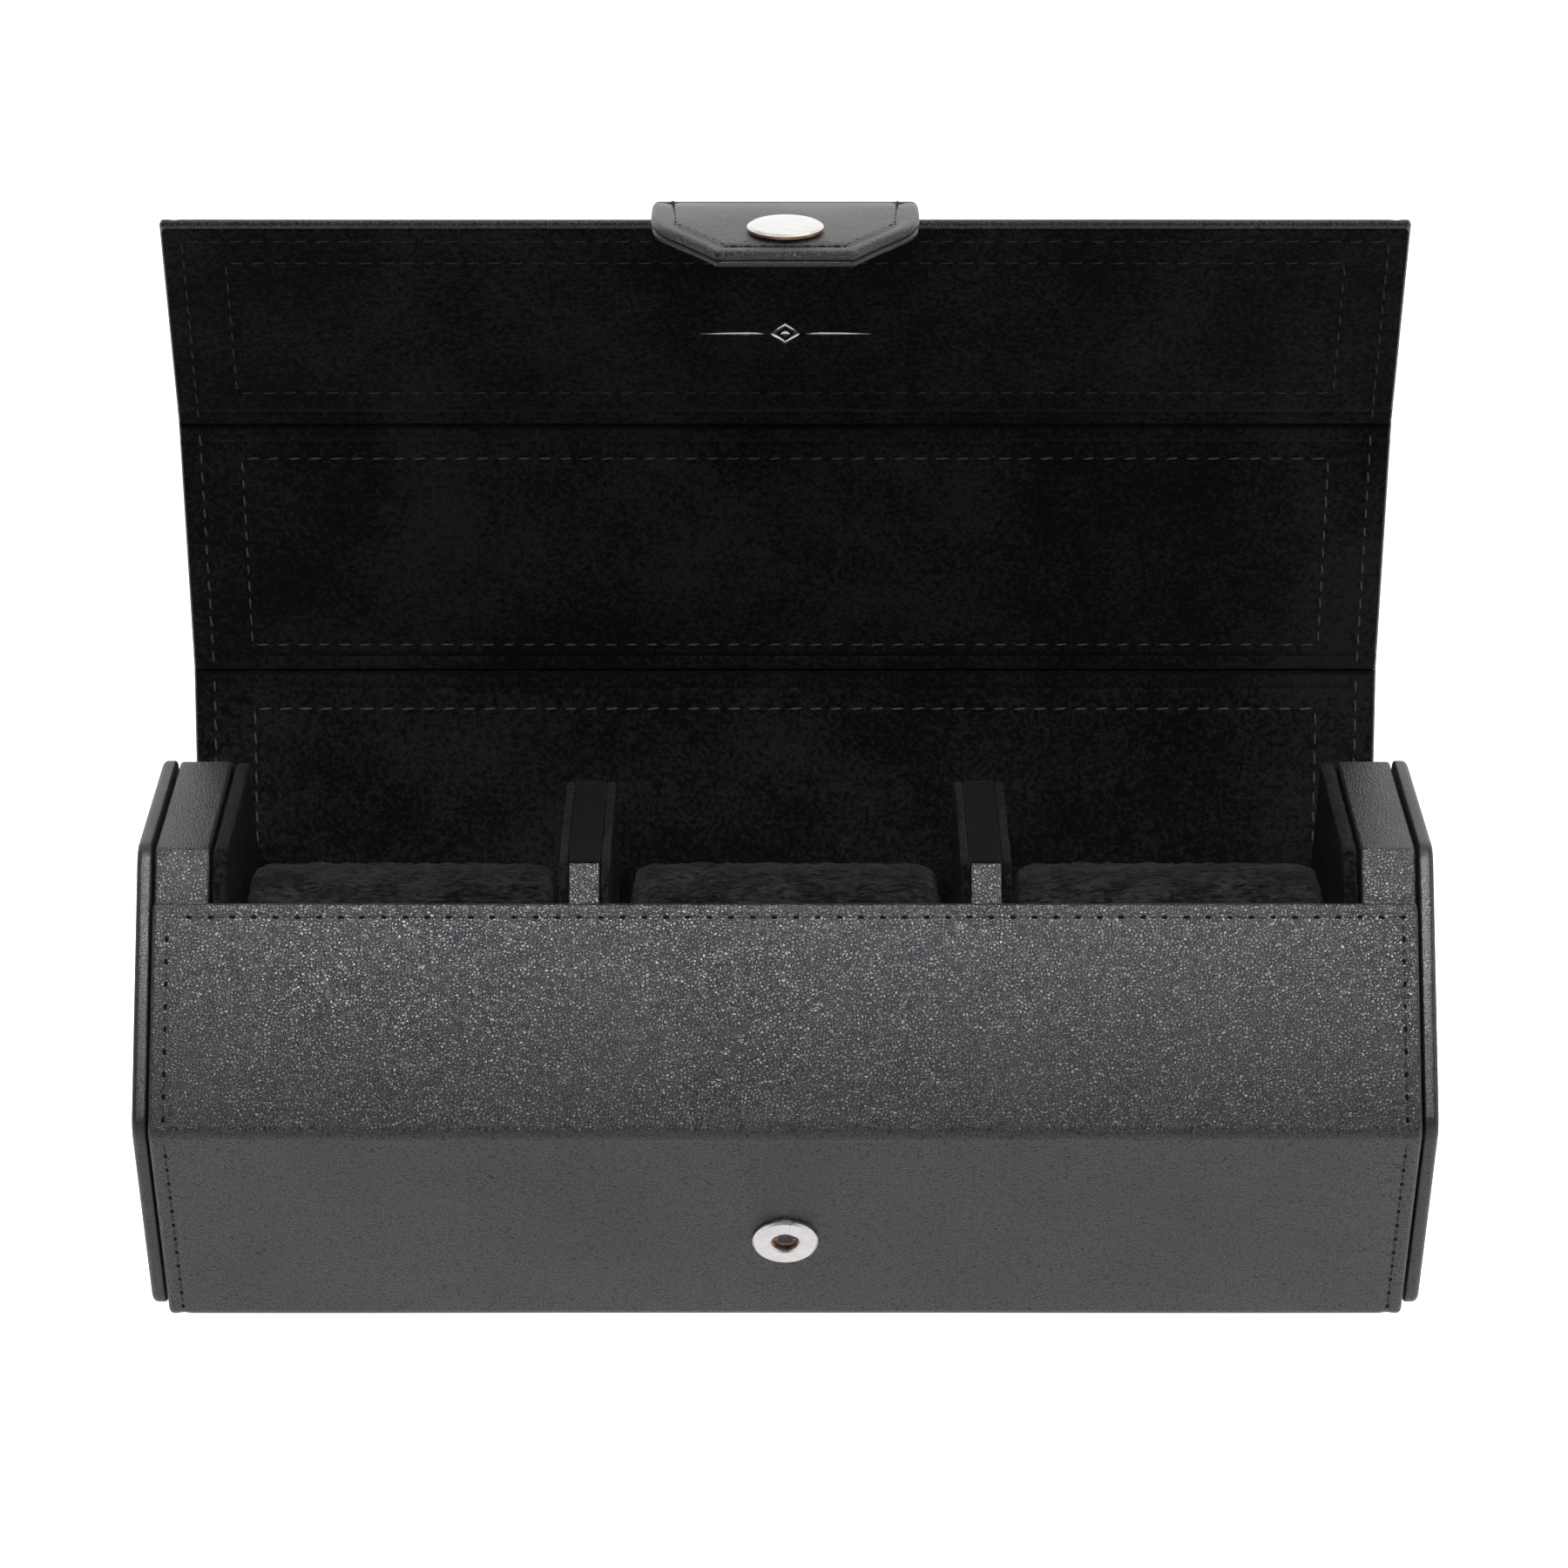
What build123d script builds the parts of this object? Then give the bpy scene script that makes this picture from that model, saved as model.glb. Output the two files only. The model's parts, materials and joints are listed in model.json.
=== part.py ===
"""Three-compartment watch and jewelry roll: a hexagonal leather case with a folding three-panel lid.

Frame: millimetres, +X along the roll, +Y to the rear, +Z up.  The origin is the middle of the underside.
The hexagon's profile lies in the YZ plane.  Every wall is a laminate: leather outside, board, suede inside.
"""

from math import cos, radians, sin, sqrt
import os

from build123d import *

# ---------------------------------------------------------------- driving dimensions
wrap_length = 201.5  # length of the walls and the lid, between the end discs
core_apothem = 39.2  # centre of the hexagon to the flats of the end blocks
leather_t = 0.6
board_t = 0.9
lining_t = 0.4
wall_t = leather_t + board_t + lining_t
wall_apothem = core_apothem + wall_t  # outer face of the fixed walls
centre_z = wall_apothem  # height of the hexagon's centre above the table
front_wall_height = 37.3  # front upper wall, measured up its slope from the front corner

lid_clearance = 0.4  # closed lid above the end blocks
lid_apothem = core_apothem + lid_clearance + wall_t  # outer face of the closed lid
flap_clearance = 0.35  # closed front lid panel above the front upper wall
flap_apothem = wall_apothem + flap_clearance + wall_t
lid_front_length = 44.8  # front lid panel, from its fold to its free edge
fold_gap = 1.25  # panel edge to the axis of a lid fold
rear_fold_gap = 2.0  # the rear fold opens much further

fold_clear = 0.3  # between the rolled leather on a fold and the sheets that turn on it

# how far each lid panel leans back from vertical when the lid stands open
rear_lean = 5.0
top_lean = -16.0
front_lean = -29.0
tab_lean = -89.0  # the tab's chord, nearly level

tab_t = 2.6
tab_width = 42.4
tab_tip_width = 21.6
tab_shoulder = 26.0  # straight part of the tab's sides, from its fold
tab_length = 40.0
tab_bulge = 1.5  # the tab is set in a shallow arch
tab_anchor_t = 1.8
tab_anchor_length = 26.0  # part of the tab sewn to the back of the front lid panel
tab_clearance = 0.5
tab_leather_t = 0.9
stiffener_inset = 1.6
snap_from_corner = 27.0  # snap centre, down the front lower wall from the front corner

snap_flange_r = 5.3
snap_flange_t = 1.0
snap_hole_r = 2.2
snap_shank_r = 1.8
snap_cap_r = 6.0
snap_cap_t = 1.3
snap_stud_r = 1.9
snap_stud_length = 1.4
snap_rivet_r = 4.0

disc_gap = 0.4  # between the end of the walls and the end disc
disc_apothem = core_apothem + 0.5
disc_board_t = 1.4
disc_cover_t = 0.5
disc_crown_t = 1.1
disc_corner_r = 1.6
end_block_t = 9.65
band_t = 0.8
band_setback = 0.45  # dark groove on both sides of the leather band
liner_t = 2.4
liner_clearance = 0.1

divider_x = 32.2
divider_block_t = 5.0
divider_suede_t = 1.5
divider_suede_gap = 0.15
divider_apothem = 36.4  # the dividers stand lower than the ends
divider_band_t = 0.5

cushion_length = 48.5
cushion_depth = 53.0  # narrow enough to lift out past the front wall's upper edge
cushion_height = 68.0
cushion_cover_t = 1.2
cushion_floor_gap = 0.1

# ---------------------------------------------------------------- the hexagon's geometry
FRONT_UPPER, TOP, REAR_UPPER = 150.0, 90.0, 30.0
REAR_LOWER, BOTTOM, FRONT_LOWER = -30.0, -90.0, -150.0
HALF_LENGTH = wrap_length / 2


def corner(facing_a, apothem_a, facing_b, apothem_b):
    """Point (y, z) where two flats meet; a flat is its outward direction in degrees and its apothem."""
    a, b = radians(facing_a), radians(facing_b)
    det = cos(a) * sin(b) - sin(a) * cos(b)
    y = (apothem_a * sin(b) - apothem_b * sin(a)) / det
    z = (apothem_b * cos(a) - apothem_a * cos(b)) / det
    return Vector(y, z + centre_z)


def along(lean, distance):
    """Offset (y, z) up a panel that leans back from vertical by lean degrees."""
    return Vector(sin(radians(lean)) * distance, cos(radians(lean)) * distance)


def outward(lean, distance):
    """Offset (y, z) out of the leather side of a panel that leans back by lean degrees."""
    return Vector(cos(radians(lean)) * distance, -sin(radians(lean)) * distance)


def panel_plane(fold, lean):
    """Plane on a panel's mid-thickness: origin on its fold, +Y up the panel, +Z out of the leather."""
    normal = outward(lean, 1)
    return Plane(origin=(0, fold.X, fold.Y), x_dir=(-1, 0, 0), z_dir=(0, normal.X, normal.Y))


def hexagon_points(top, upper, lower, bottom):
    """Corners (y, z) of a hexagon whose flats have these apothems, the same at the front and the rear."""
    flats = [
        (TOP, top),
        (REAR_UPPER, upper),
        (REAR_LOWER, lower),
        (BOTTOM, bottom),
        (FRONT_LOWER, lower),
        (FRONT_UPPER, upper),
    ]
    return [corner(*flats[i], *flats[i - 1]) for i in range(6)]


wall_mid = wall_apothem - wall_t / 2
lid_mid = lid_apothem - wall_t / 2
flap_mid = flap_apothem - wall_t / 2
tab_mid = wall_apothem + tab_clearance + tab_t / 2
anchor_mid = flap_apothem + tab_anchor_t / 2

# folds of the closed lid
rear_fold = corner(REAR_UPPER, lid_mid, REAR_LOWER, wall_mid)
closed_top_fold = corner(TOP, lid_mid, REAR_UPPER, lid_mid)
closed_front_fold = corner(FRONT_UPPER, flap_mid, TOP, lid_mid)
closed_tab_fold = corner(FRONT_UPPER, anchor_mid, FRONT_LOWER, tab_mid)
lid_rear_length = (closed_top_fold - rear_fold).length
lid_top_length = (closed_front_fold - closed_top_fold).length
tab_fold_up = (closed_tab_fold - closed_front_fold).dot(along(-150, 1))
tab_fold_out = anchor_mid - flap_mid

# folds of the open lid
top_fold = rear_fold + along(rear_lean, lid_rear_length)
front_fold = top_fold + along(top_lean, lid_top_length)
tab_fold = front_fold + along(front_lean, tab_fold_up) + outward(front_lean, tab_fold_out)

# the snap's place on the front lower wall and on the tab
wall_down = along(-210, 1)
snap_point = corner(FRONT_UPPER, wall_apothem, FRONT_LOWER, wall_apothem) + wall_down * snap_from_corner
snap_from_fold = (snap_point - closed_tab_fold).dot(wall_down)
snap_plane = Plane(
    origin=(0, snap_point.X, snap_point.Y),
    x_dir=(1, 0, 0),
    z_dir=(0, cos(radians(FRONT_LOWER)), sin(radians(FRONT_LOWER))),
)
tab_plane = panel_plane(tab_fold, tab_lean)
tab_arch_r = ((tab_length / 2) ** 2 + tab_bulge**2) / (2 * tab_bulge)
tab_arch_centre = (tab_length / 2, tab_bulge - tab_arch_r)  # distance along the tab, and height over its chord


# ---------------------------------------------------------------- building helpers
def save(piece, name):
    """Labels a finished piece and writes its STEP file."""
    piece.part.label = name
    export_step(piece.part, f"parts/{name}.step")


def prism(points, start_x, end_x):
    """A straight bar whose profile is the (y, z) points, from start_x to end_x."""
    with BuildPart() as bar:
        with BuildSketch(Plane.YZ.offset(start_x)):
            Polygon(*[(p.X, p.Y) for p in points], align=None)
        extrude(amount=end_x - start_x)
    return bar


def ring(outer, inner, start_x, end_x):
    """A hexagonal band between two outlines of (y, z) points."""
    with BuildPart() as band:
        with BuildSketch(Plane.YZ.offset(start_x)):
            Polygon(*[(p.X, p.Y) for p in outer], align=None)
            Polygon(*[(p.X, p.Y) for p in inner], align=None, mode=Mode.SUBTRACT)
        extrude(amount=end_x - start_x)
    return band


def fold_strip(fold, radius, length, name):
    """The rolled leather on a fold, round about the fold's axis, where the sheets turn."""
    with BuildPart() as strip:
        with BuildSketch(Plane.YZ.offset(-length / 2)):
            with Locations((fold.X, fold.Y)):
                Circle(radius)
        extrude(amount=length)
    save(strip, name)


# ---------------------------------------------------------------- fixed walls
def wall_layer(before, facing, after, inner, outer):
    """Profile of one layer of a wall, mitred against the flats before and after it."""
    return [
        corner(facing, outer, before, outer),
        corner(facing, inner, before, inner),
        corner(facing, inner, after, inner),
        corner(facing, outer, after, outer),
    ]


def up_front_wall(height, apothem):
    """Point on the front upper wall at a height up its slope, at this apothem."""
    foot = corner(FRONT_UPPER, wall_apothem, FRONT_LOWER, wall_apothem) + along(30, height)
    inward = Vector(cos(radians(FRONT_UPPER)), sin(radians(FRONT_UPPER)))
    return foot + inward * (apothem - wall_apothem)


def up_rear_wall(gap, apothem):
    """Point on the rear lower wall at a gap below the rear fold, at this apothem."""
    outer_direction = Vector(cos(radians(REAR_LOWER)), sin(radians(REAR_LOWER)))
    return rear_fold - along(30, gap) + outer_direction * (apothem - wall_mid)


def fixed_walls():
    """Leather, board and suede of the four fixed walls, the lower front wall pierced for the snap."""
    suede_in, suede_out = core_apothem, core_apothem + lining_t
    board_out = suede_out + board_t
    layers = [("leather", board_out, wall_apothem), ("board", suede_out, board_out)]
    for layer, inner, outer in layers:
        front_upper = [
            corner(FRONT_UPPER, outer, FRONT_LOWER, outer),
            up_front_wall(front_wall_height, outer),
            up_front_wall(front_wall_height, inner),
            corner(FRONT_UPPER, inner, FRONT_LOWER, inner),
        ]
        rear_lower = [
            corner(REAR_LOWER, outer, BOTTOM, outer),
            up_rear_wall(rear_fold_gap, outer),
            up_rear_wall(rear_fold_gap, inner),
            corner(REAR_LOWER, inner, BOTTOM, inner),
        ]
        bottom = wall_layer(FRONT_LOWER, BOTTOM, REAR_LOWER, inner, outer)
        front_lower = wall_layer(FRONT_UPPER, FRONT_LOWER, BOTTOM, inner, outer)
        save(prism(front_upper, -HALF_LENGTH, HALF_LENGTH), f"front_upper_{layer}")
        save(prism(rear_lower, -HALF_LENGTH, HALF_LENGTH), f"rear_lower_{layer}")
        save(prism(bottom, -HALF_LENGTH, HALF_LENGTH), f"bottom_{layer}")
        save(pierced(prism(front_lower, -HALF_LENGTH, HALF_LENGTH)), f"front_lower_{layer}")
    outline = [up_front_wall(front_wall_height, suede_out)]
    outline += [corner(FRONT_UPPER, suede_out, FRONT_LOWER, suede_out)]
    outline += [corner(FRONT_LOWER, suede_out, BOTTOM, suede_out)]
    outline += [corner(BOTTOM, suede_out, REAR_LOWER, suede_out)]
    outline += [up_rear_wall(rear_fold_gap, suede_out), up_rear_wall(rear_fold_gap, suede_in)]
    outline += [corner(BOTTOM, suede_in, REAR_LOWER, suede_in)]
    outline += [corner(FRONT_LOWER, suede_in, BOTTOM, suede_in)]
    outline += [corner(FRONT_UPPER, suede_in, FRONT_LOWER, suede_in)]
    outline += [up_front_wall(front_wall_height, suede_in)]
    save(pierced(prism(outline, -HALF_LENGTH, HALF_LENGTH)), "case_lining")


def pierced(wall):
    """The wall with the round hole that the snap's shank passes through."""
    with BuildPart() as holed:
        add(wall.part)
        with BuildSketch(snap_plane.offset(1)):
            Circle(snap_shank_r)
        extrude(amount=-(wall_t + 2), mode=Mode.SUBTRACT)
    return holed


# ---------------------------------------------------------------- ends
def end(side, name):
    """One end of the roll, side -1 or 1: covered disc, block, leather band and suede liner."""
    disc_inner = HALF_LENGTH + disc_gap
    block_inner = disc_inner - end_block_t
    regular = hexagon_points(core_apothem, core_apothem, core_apothem, core_apothem)
    core = core_apothem - band_t
    core_points = hexagon_points(core, core, core, core)
    save(prism(core_points, side * block_inner, side * disc_inner), f"{name}_block")
    band_in, band_out = block_inner + band_setback, disc_inner - band_setback
    save(ring(regular, core_points, side * band_in, side * band_out), f"{name}_band")

    lined = core_apothem - liner_clearance
    liner_points = hexagon_points(lined, lined, lined, lined)
    save(prism(liner_points, side * (block_inner - liner_t), side * block_inner), f"{name}_liner")

    board = disc_apothem - disc_cover_t
    board_points = hexagon_points(board, board, board, board)
    board_outer = disc_inner + disc_board_t
    save(prism(board_points, side * disc_inner, side * board_outer), f"{name}_disc_board")
    cover_points = hexagon_points(disc_apothem, disc_apothem, disc_apothem, disc_apothem)
    with BuildPart() as cover:
        add(prism(cover_points, side * disc_inner, side * (board_outer + disc_crown_t)).part)
        fillet(cover.edges().filter_by(Axis.X), disc_corner_r)
        rim = cover.faces().sort_by(Axis.X)[-1 if side > 0 else 0]
        fillet(rim.edges(), disc_crown_t * 0.8)
        add(prism(board_points, side * disc_inner, side * board_outer).part, mode=Mode.SUBTRACT)
    save(cover, f"{name}_disc_cover")


# ---------------------------------------------------------------- dividers
def divider(centre_x, name):
    """A compartment divider: block, leather band over its rim and a suede panel on each face."""
    half = divider_block_t / 2
    full = hexagon_points(divider_apothem, divider_apothem, core_apothem, core_apothem)
    top, low = divider_apothem - divider_band_t, core_apothem - divider_band_t
    inner = hexagon_points(top, top, low, low)
    save(prism(inner, centre_x - half, centre_x + half), f"{name}_block")
    save(ring(full, inner, centre_x - half, centre_x + half), f"{name}_band")
    near, far = half + divider_suede_gap, half + divider_suede_gap + divider_suede_t
    with BuildPart() as suedes:
        add(prism(full, centre_x - far, centre_x - near).part)
        add(prism(full, centre_x + near, centre_x + far).part)
        add(prism(inner, centre_x - near, centre_x - half).part)
        add(prism(inner, centre_x + half, centre_x + near).part)
    save(suedes, f"{name}_suede")


# ---------------------------------------------------------------- lid
def lid_panel(fold, lean, start, finish, name):
    """Leather, board and suede of one lid panel, from start to finish up from its fold."""
    base = panel_plane(fold, lean)
    levels = [
        ("leather", board_t / 2 + lining_t / 2 - leather_t / 2, leather_t),
        ("board", -wall_t / 2 + lining_t, board_t),
        ("lining", -wall_t / 2, lining_t),
    ]
    for layer, level, thickness in levels:
        with BuildPart() as sheet:
            with BuildSketch(base.offset(level)):
                with Locations((0, (start + finish) / 2)):
                    Rectangle(wrap_length, finish - start)
            extrude(amount=thickness)
        save(sheet, f"{name}_{layer}")


def tab_outline(root, inset):
    """Corners of the tab on its own plane, drawn in from the edge by inset; its two corners are cut off."""
    half, tip_half = tab_width / 2 - inset, tab_tip_width / 2 - inset * (sqrt(2) - 1)
    shoulder, tip = tab_shoulder - inset * (sqrt(2) - 1), tab_length - inset
    return [
        (-half, root),
        (half, root),
        (half, shoulder),
        (tip_half, tip),
        (-tip_half, tip),
        (-half, shoulder),
    ]


def arch_point(along_tab, radius):
    """Point on the tab's arch: distance along the tab, and height over its chord."""
    centre_along, centre_height = tab_arch_centre
    return along_tab, centre_height + sqrt(radius**2 - (along_tab - centre_along) ** 2)


snap_on_arch = arch_point(snap_from_fold, tab_arch_r)
arch_normal = Vector(0, snap_from_fold - tab_arch_centre[0], snap_on_arch[1] - tab_arch_centre[1])
tab_snap_plane = Plane(
    origin=tab_plane.from_local_coords((0, *snap_on_arch)),
    x_dir=tab_plane.x_dir,
    z_dir=tab_plane.from_local_coords(arch_normal) - tab_plane.origin,
)


def tab():
    """The closing tab: arched leather, stiffener and backing, and the part sewn to the lid."""
    side = Plane(origin=tab_plane.origin, x_dir=tab_plane.y_dir, z_dir=tab_plane.x_dir)
    root = tab_anchor_t / 2 + fold_clear
    layers = [
        ("tab_leather", tab_t / 2 - tab_leather_t, tab_t / 2, 0.0),
        ("tab_stiffener", -tab_t / 2 + tab_leather_t, tab_t / 2 - tab_leather_t, stiffener_inset),
        ("tab_backing", -tab_t / 2, -tab_t / 2 + tab_leather_t, 0.0),
    ]
    for name, low, high, inset in layers:
        inner, outer = tab_arch_r + low, tab_arch_r + high
        middle = tab_length / 2
        with BuildPart() as sheet:
            with BuildSketch(side):
                with BuildLine():
                    ThreePointArc(*[arch_point(v, inner) for v in (root, middle, tab_length)])
                    Line(arch_point(tab_length, inner), arch_point(tab_length, outer))
                    ThreePointArc(*[arch_point(v, outer) for v in (tab_length, middle, root)])
                    Line(arch_point(root, outer), arch_point(root, inner))
                make_face()
            extrude(amount=tab_width / 2, both=True)
            with BuildSketch(tab_plane):
                Polygon(*tab_outline(root, inset), align=None)
            extrude(amount=tab_bulge + tab_t, both=True, mode=Mode.INTERSECT)
            with BuildSketch(tab_snap_plane):
                Circle(snap_shank_r)
            extrude(amount=tab_t, both=True, mode=Mode.SUBTRACT)
        save(sheet, name)
    with BuildPart() as anchor:
        with BuildSketch(panel_plane(front_fold, front_lean).offset(wall_t / 2)):
            with Locations((0, tab_fold_up - root - tab_anchor_length / 2)):
                Rectangle(tab_width, tab_anchor_length)
        extrude(amount=tab_anchor_t)
    save(anchor, "tab_anchor")


# ---------------------------------------------------------------- snap fastener
def turned(plane, profile, name):
    """A part turned about the plane's Z axis from (radius, height) points."""
    upright = Plane(origin=plane.origin, x_dir=plane.x_dir, z_dir=-plane.y_dir)
    with BuildPart() as piece:
        with BuildSketch(upright):
            Polygon(*profile, align=None)
        revolve(axis=Axis(plane.origin, plane.z_dir))
    save(piece, name)


def snap():
    """Socket and rivet on the front wall, cap and stud on the tab."""
    flange_edge = snap_flange_r - 0.35
    socket = [
        (snap_hole_r, 0),
        (snap_flange_r - 0.2, 0),
        (snap_flange_r, 0.25),
        (snap_flange_r, snap_flange_t - 0.35),
        (flange_edge, snap_flange_t),
        (snap_hole_r + 0.25, snap_flange_t),
        (snap_hole_r, snap_flange_t - 0.25),
    ]
    turned(snap_plane, socket, "snap_socket")
    eyelet_bore = 1.2
    rivet = [
        (0, -wall_t - 0.7),
        (snap_rivet_r, -wall_t - 0.5),
        (snap_rivet_r, -wall_t),
        (snap_shank_r, -wall_t),
        (snap_shank_r, 0),
        (eyelet_bore, 0),
        (eyelet_bore, -wall_t),
        (0, -wall_t),
    ]
    turned(snap_plane, rivet, "snap_socket_rivet")
    face = tab_t / 2
    cap = [
        (0, face),
        (snap_cap_r - 0.3, face),
        (snap_cap_r, face + 0.3),
        (snap_cap_r, face + snap_cap_t * 0.55),
        (snap_cap_r - 0.5, face + snap_cap_t * 0.8),
        (snap_cap_r * 0.55, face + snap_cap_t),
        (0, face + snap_cap_t),
    ]
    turned(tab_snap_plane, cap, "snap_cap")
    stud_end = -face - snap_stud_length
    stud = [
        (0, stud_end),
        (snap_stud_r - 0.4, stud_end),
        (snap_stud_r, stud_end + 0.4),
        (snap_stud_r - 0.3, -face),
        (snap_shank_r, -face),
        (snap_shank_r, face),
        (0, face),
    ]
    turned(tab_snap_plane, stud, "snap_stud")


# ---------------------------------------------------------------- cushions
def cushion(centre_x, name):
    """A watch cushion: oval foam in a suede sleeve, closed by two end panels."""
    floor = centre_z - core_apothem + cushion_floor_gap
    start = centre_x - cushion_length / 2
    middle = (0, floor + cushion_height / 2)
    foam_depth, foam_height = cushion_depth / 2 - cushion_cover_t, cushion_height / 2 - cushion_cover_t
    with BuildPart() as sleeve:
        with BuildSketch(Plane.YZ.offset(start)):
            with Locations(middle):
                Ellipse(cushion_depth / 2, cushion_height / 2)
                Ellipse(foam_depth, foam_height, mode=Mode.SUBTRACT)
        extrude(amount=cushion_length)
    save(sleeve, f"{name}_sleeve")
    for piece, begin, length in (
        ("foam", start + cushion_cover_t, cushion_length - 2 * cushion_cover_t),
        ("ends", start, cushion_cover_t),
    ):
        with BuildPart() as filling:
            with BuildSketch(Plane.YZ.offset(begin)):
                with Locations(middle):
                    Ellipse(foam_depth, foam_height)
            extrude(amount=length)
            if piece == "ends":
                mirror(about=Plane.YZ.offset(centre_x))
        save(filling, f"{name}_{piece}")


# ---------------------------------------------------------------- the whole roll
os.makedirs("parts", exist_ok=True)
fixed_walls()
end(-1, "end_left")
end(1, "end_right")
divider(-divider_x, "divider_left")
divider(divider_x, "divider_right")
lid_panel(rear_fold, rear_lean, rear_fold_gap, lid_rear_length - fold_gap, "lid_rear")
lid_panel(top_fold, top_lean, fold_gap, lid_top_length - fold_gap, "lid_top")
lid_panel(front_fold, front_lean, fold_gap, lid_front_length, "lid_front")
strip_r = wall_t / 2
fold_strip(rear_fold, strip_r, wrap_length, "fold_rear")
fold_strip(top_fold, strip_r, wrap_length, "fold_top")
fold_strip(front_fold, strip_r, wrap_length, "fold_front")
fold_strip(tab_fold, tab_anchor_t / 2, tab_width, "fold_tab")
tab()
snap()
divider_face = divider_x + divider_block_t / 2 + divider_suede_gap + divider_suede_t
liner_face = HALF_LENGTH + disc_gap - end_block_t - liner_t
outer_cushion_x = (divider_face + liner_face) / 2
cushion(-outer_cushion_x, "cushion_left")
cushion(0, "cushion_middle")
cushion(outer_cushion_x, "cushion_right")
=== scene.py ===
"""Looks for the hexagonal watch and jewelry roll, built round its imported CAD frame.

Metres throughout, in the CAD's own frame: +X along the roll, +Y to the rear, +Z up.
The fixed walls and the lid are one strip of leather in the real object, so both are sheets laid
along one strip, which is a line in the YZ plane with rounded corners.  A sheet's point has three
coordinates: x across, s along the strip, and w out of its mid-thickness towards the leather side.
"""

import json
import math
import random

import bmesh
import bpy
import numpy as np
from mathutils import Matrix, Vector, noise


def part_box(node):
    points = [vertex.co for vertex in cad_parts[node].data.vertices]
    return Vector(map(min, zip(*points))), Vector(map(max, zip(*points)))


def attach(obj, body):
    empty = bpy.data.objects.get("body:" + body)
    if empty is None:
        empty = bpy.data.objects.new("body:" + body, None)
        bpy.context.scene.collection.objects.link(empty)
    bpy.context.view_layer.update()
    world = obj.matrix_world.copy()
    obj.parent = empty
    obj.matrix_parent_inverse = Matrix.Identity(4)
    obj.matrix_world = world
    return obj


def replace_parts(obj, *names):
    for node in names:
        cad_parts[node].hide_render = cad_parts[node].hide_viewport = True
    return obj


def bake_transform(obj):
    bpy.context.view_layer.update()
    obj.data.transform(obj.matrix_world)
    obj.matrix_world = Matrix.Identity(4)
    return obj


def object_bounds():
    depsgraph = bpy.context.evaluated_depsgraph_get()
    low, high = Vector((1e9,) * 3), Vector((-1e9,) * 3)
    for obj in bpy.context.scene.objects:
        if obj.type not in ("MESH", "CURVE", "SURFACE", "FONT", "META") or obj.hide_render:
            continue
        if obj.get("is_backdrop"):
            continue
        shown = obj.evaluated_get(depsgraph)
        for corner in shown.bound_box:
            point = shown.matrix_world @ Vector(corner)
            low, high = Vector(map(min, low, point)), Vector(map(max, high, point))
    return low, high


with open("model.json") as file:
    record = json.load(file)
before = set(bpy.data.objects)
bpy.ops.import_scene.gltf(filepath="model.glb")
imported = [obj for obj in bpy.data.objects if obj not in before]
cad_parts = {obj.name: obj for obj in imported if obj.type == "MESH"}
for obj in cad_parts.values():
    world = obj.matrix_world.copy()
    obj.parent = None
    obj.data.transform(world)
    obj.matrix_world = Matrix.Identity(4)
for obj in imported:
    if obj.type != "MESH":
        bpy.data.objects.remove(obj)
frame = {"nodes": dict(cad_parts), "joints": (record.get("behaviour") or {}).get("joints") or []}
cad_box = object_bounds()
random.seed(7)
MM = 0.001

# ---------------------------------------------------------------- sizes of the visible layers
WALL_T = 1.9 * MM
LINING_T = 0.45 * MM
HALF_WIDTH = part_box("front_upper_leather")[1].x
CENTRE_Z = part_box("front_upper_leather")[0].z
CORNER_R = 1.7 * MM
FOLD_R = 1.2 * MM
FRONT_WALL = 36.75 * MM  # front upper wall up its mid-thickness
FOLD_REACH = 3.2 * MM  # a fold bends over this far on both sides of its axis
STITCH_PITCH = 3.45 * MM
STITCH_INSET = 2.4 * MM
LINING_STITCH_INSET = 3.5 * MM
QUILT_INSET = 10.3 * MM  # the lining's inner frame of stitches, in from the side
CREASE_GAP = 1.6 * MM  # a row of leather stitches stops this far from a crease
MERGE_GAP = 0.001 * MM
MIN_GAP = 0.04 * MM  # lines of a grid lie at least this far apart
ROW_GAP, ROW_REACH = 0.3, 5  # spacing in mm, and number on each side, of the lines at a row of stitches
RIM_STEPS = 6
THREAD_SIDES = 6
HOLE_SIDES = 8


# ---------------------------------------------------------------- the strip
def cross2(a, b):
    return a[0] * b[1] - a[1] * b[0]


def rim_step(k):
    """How far in from a rounded edge its step k lies, as a share of the rim's width."""
    return 1 - math.cos(k * math.pi / (2 * RIM_STEPS))


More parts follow.
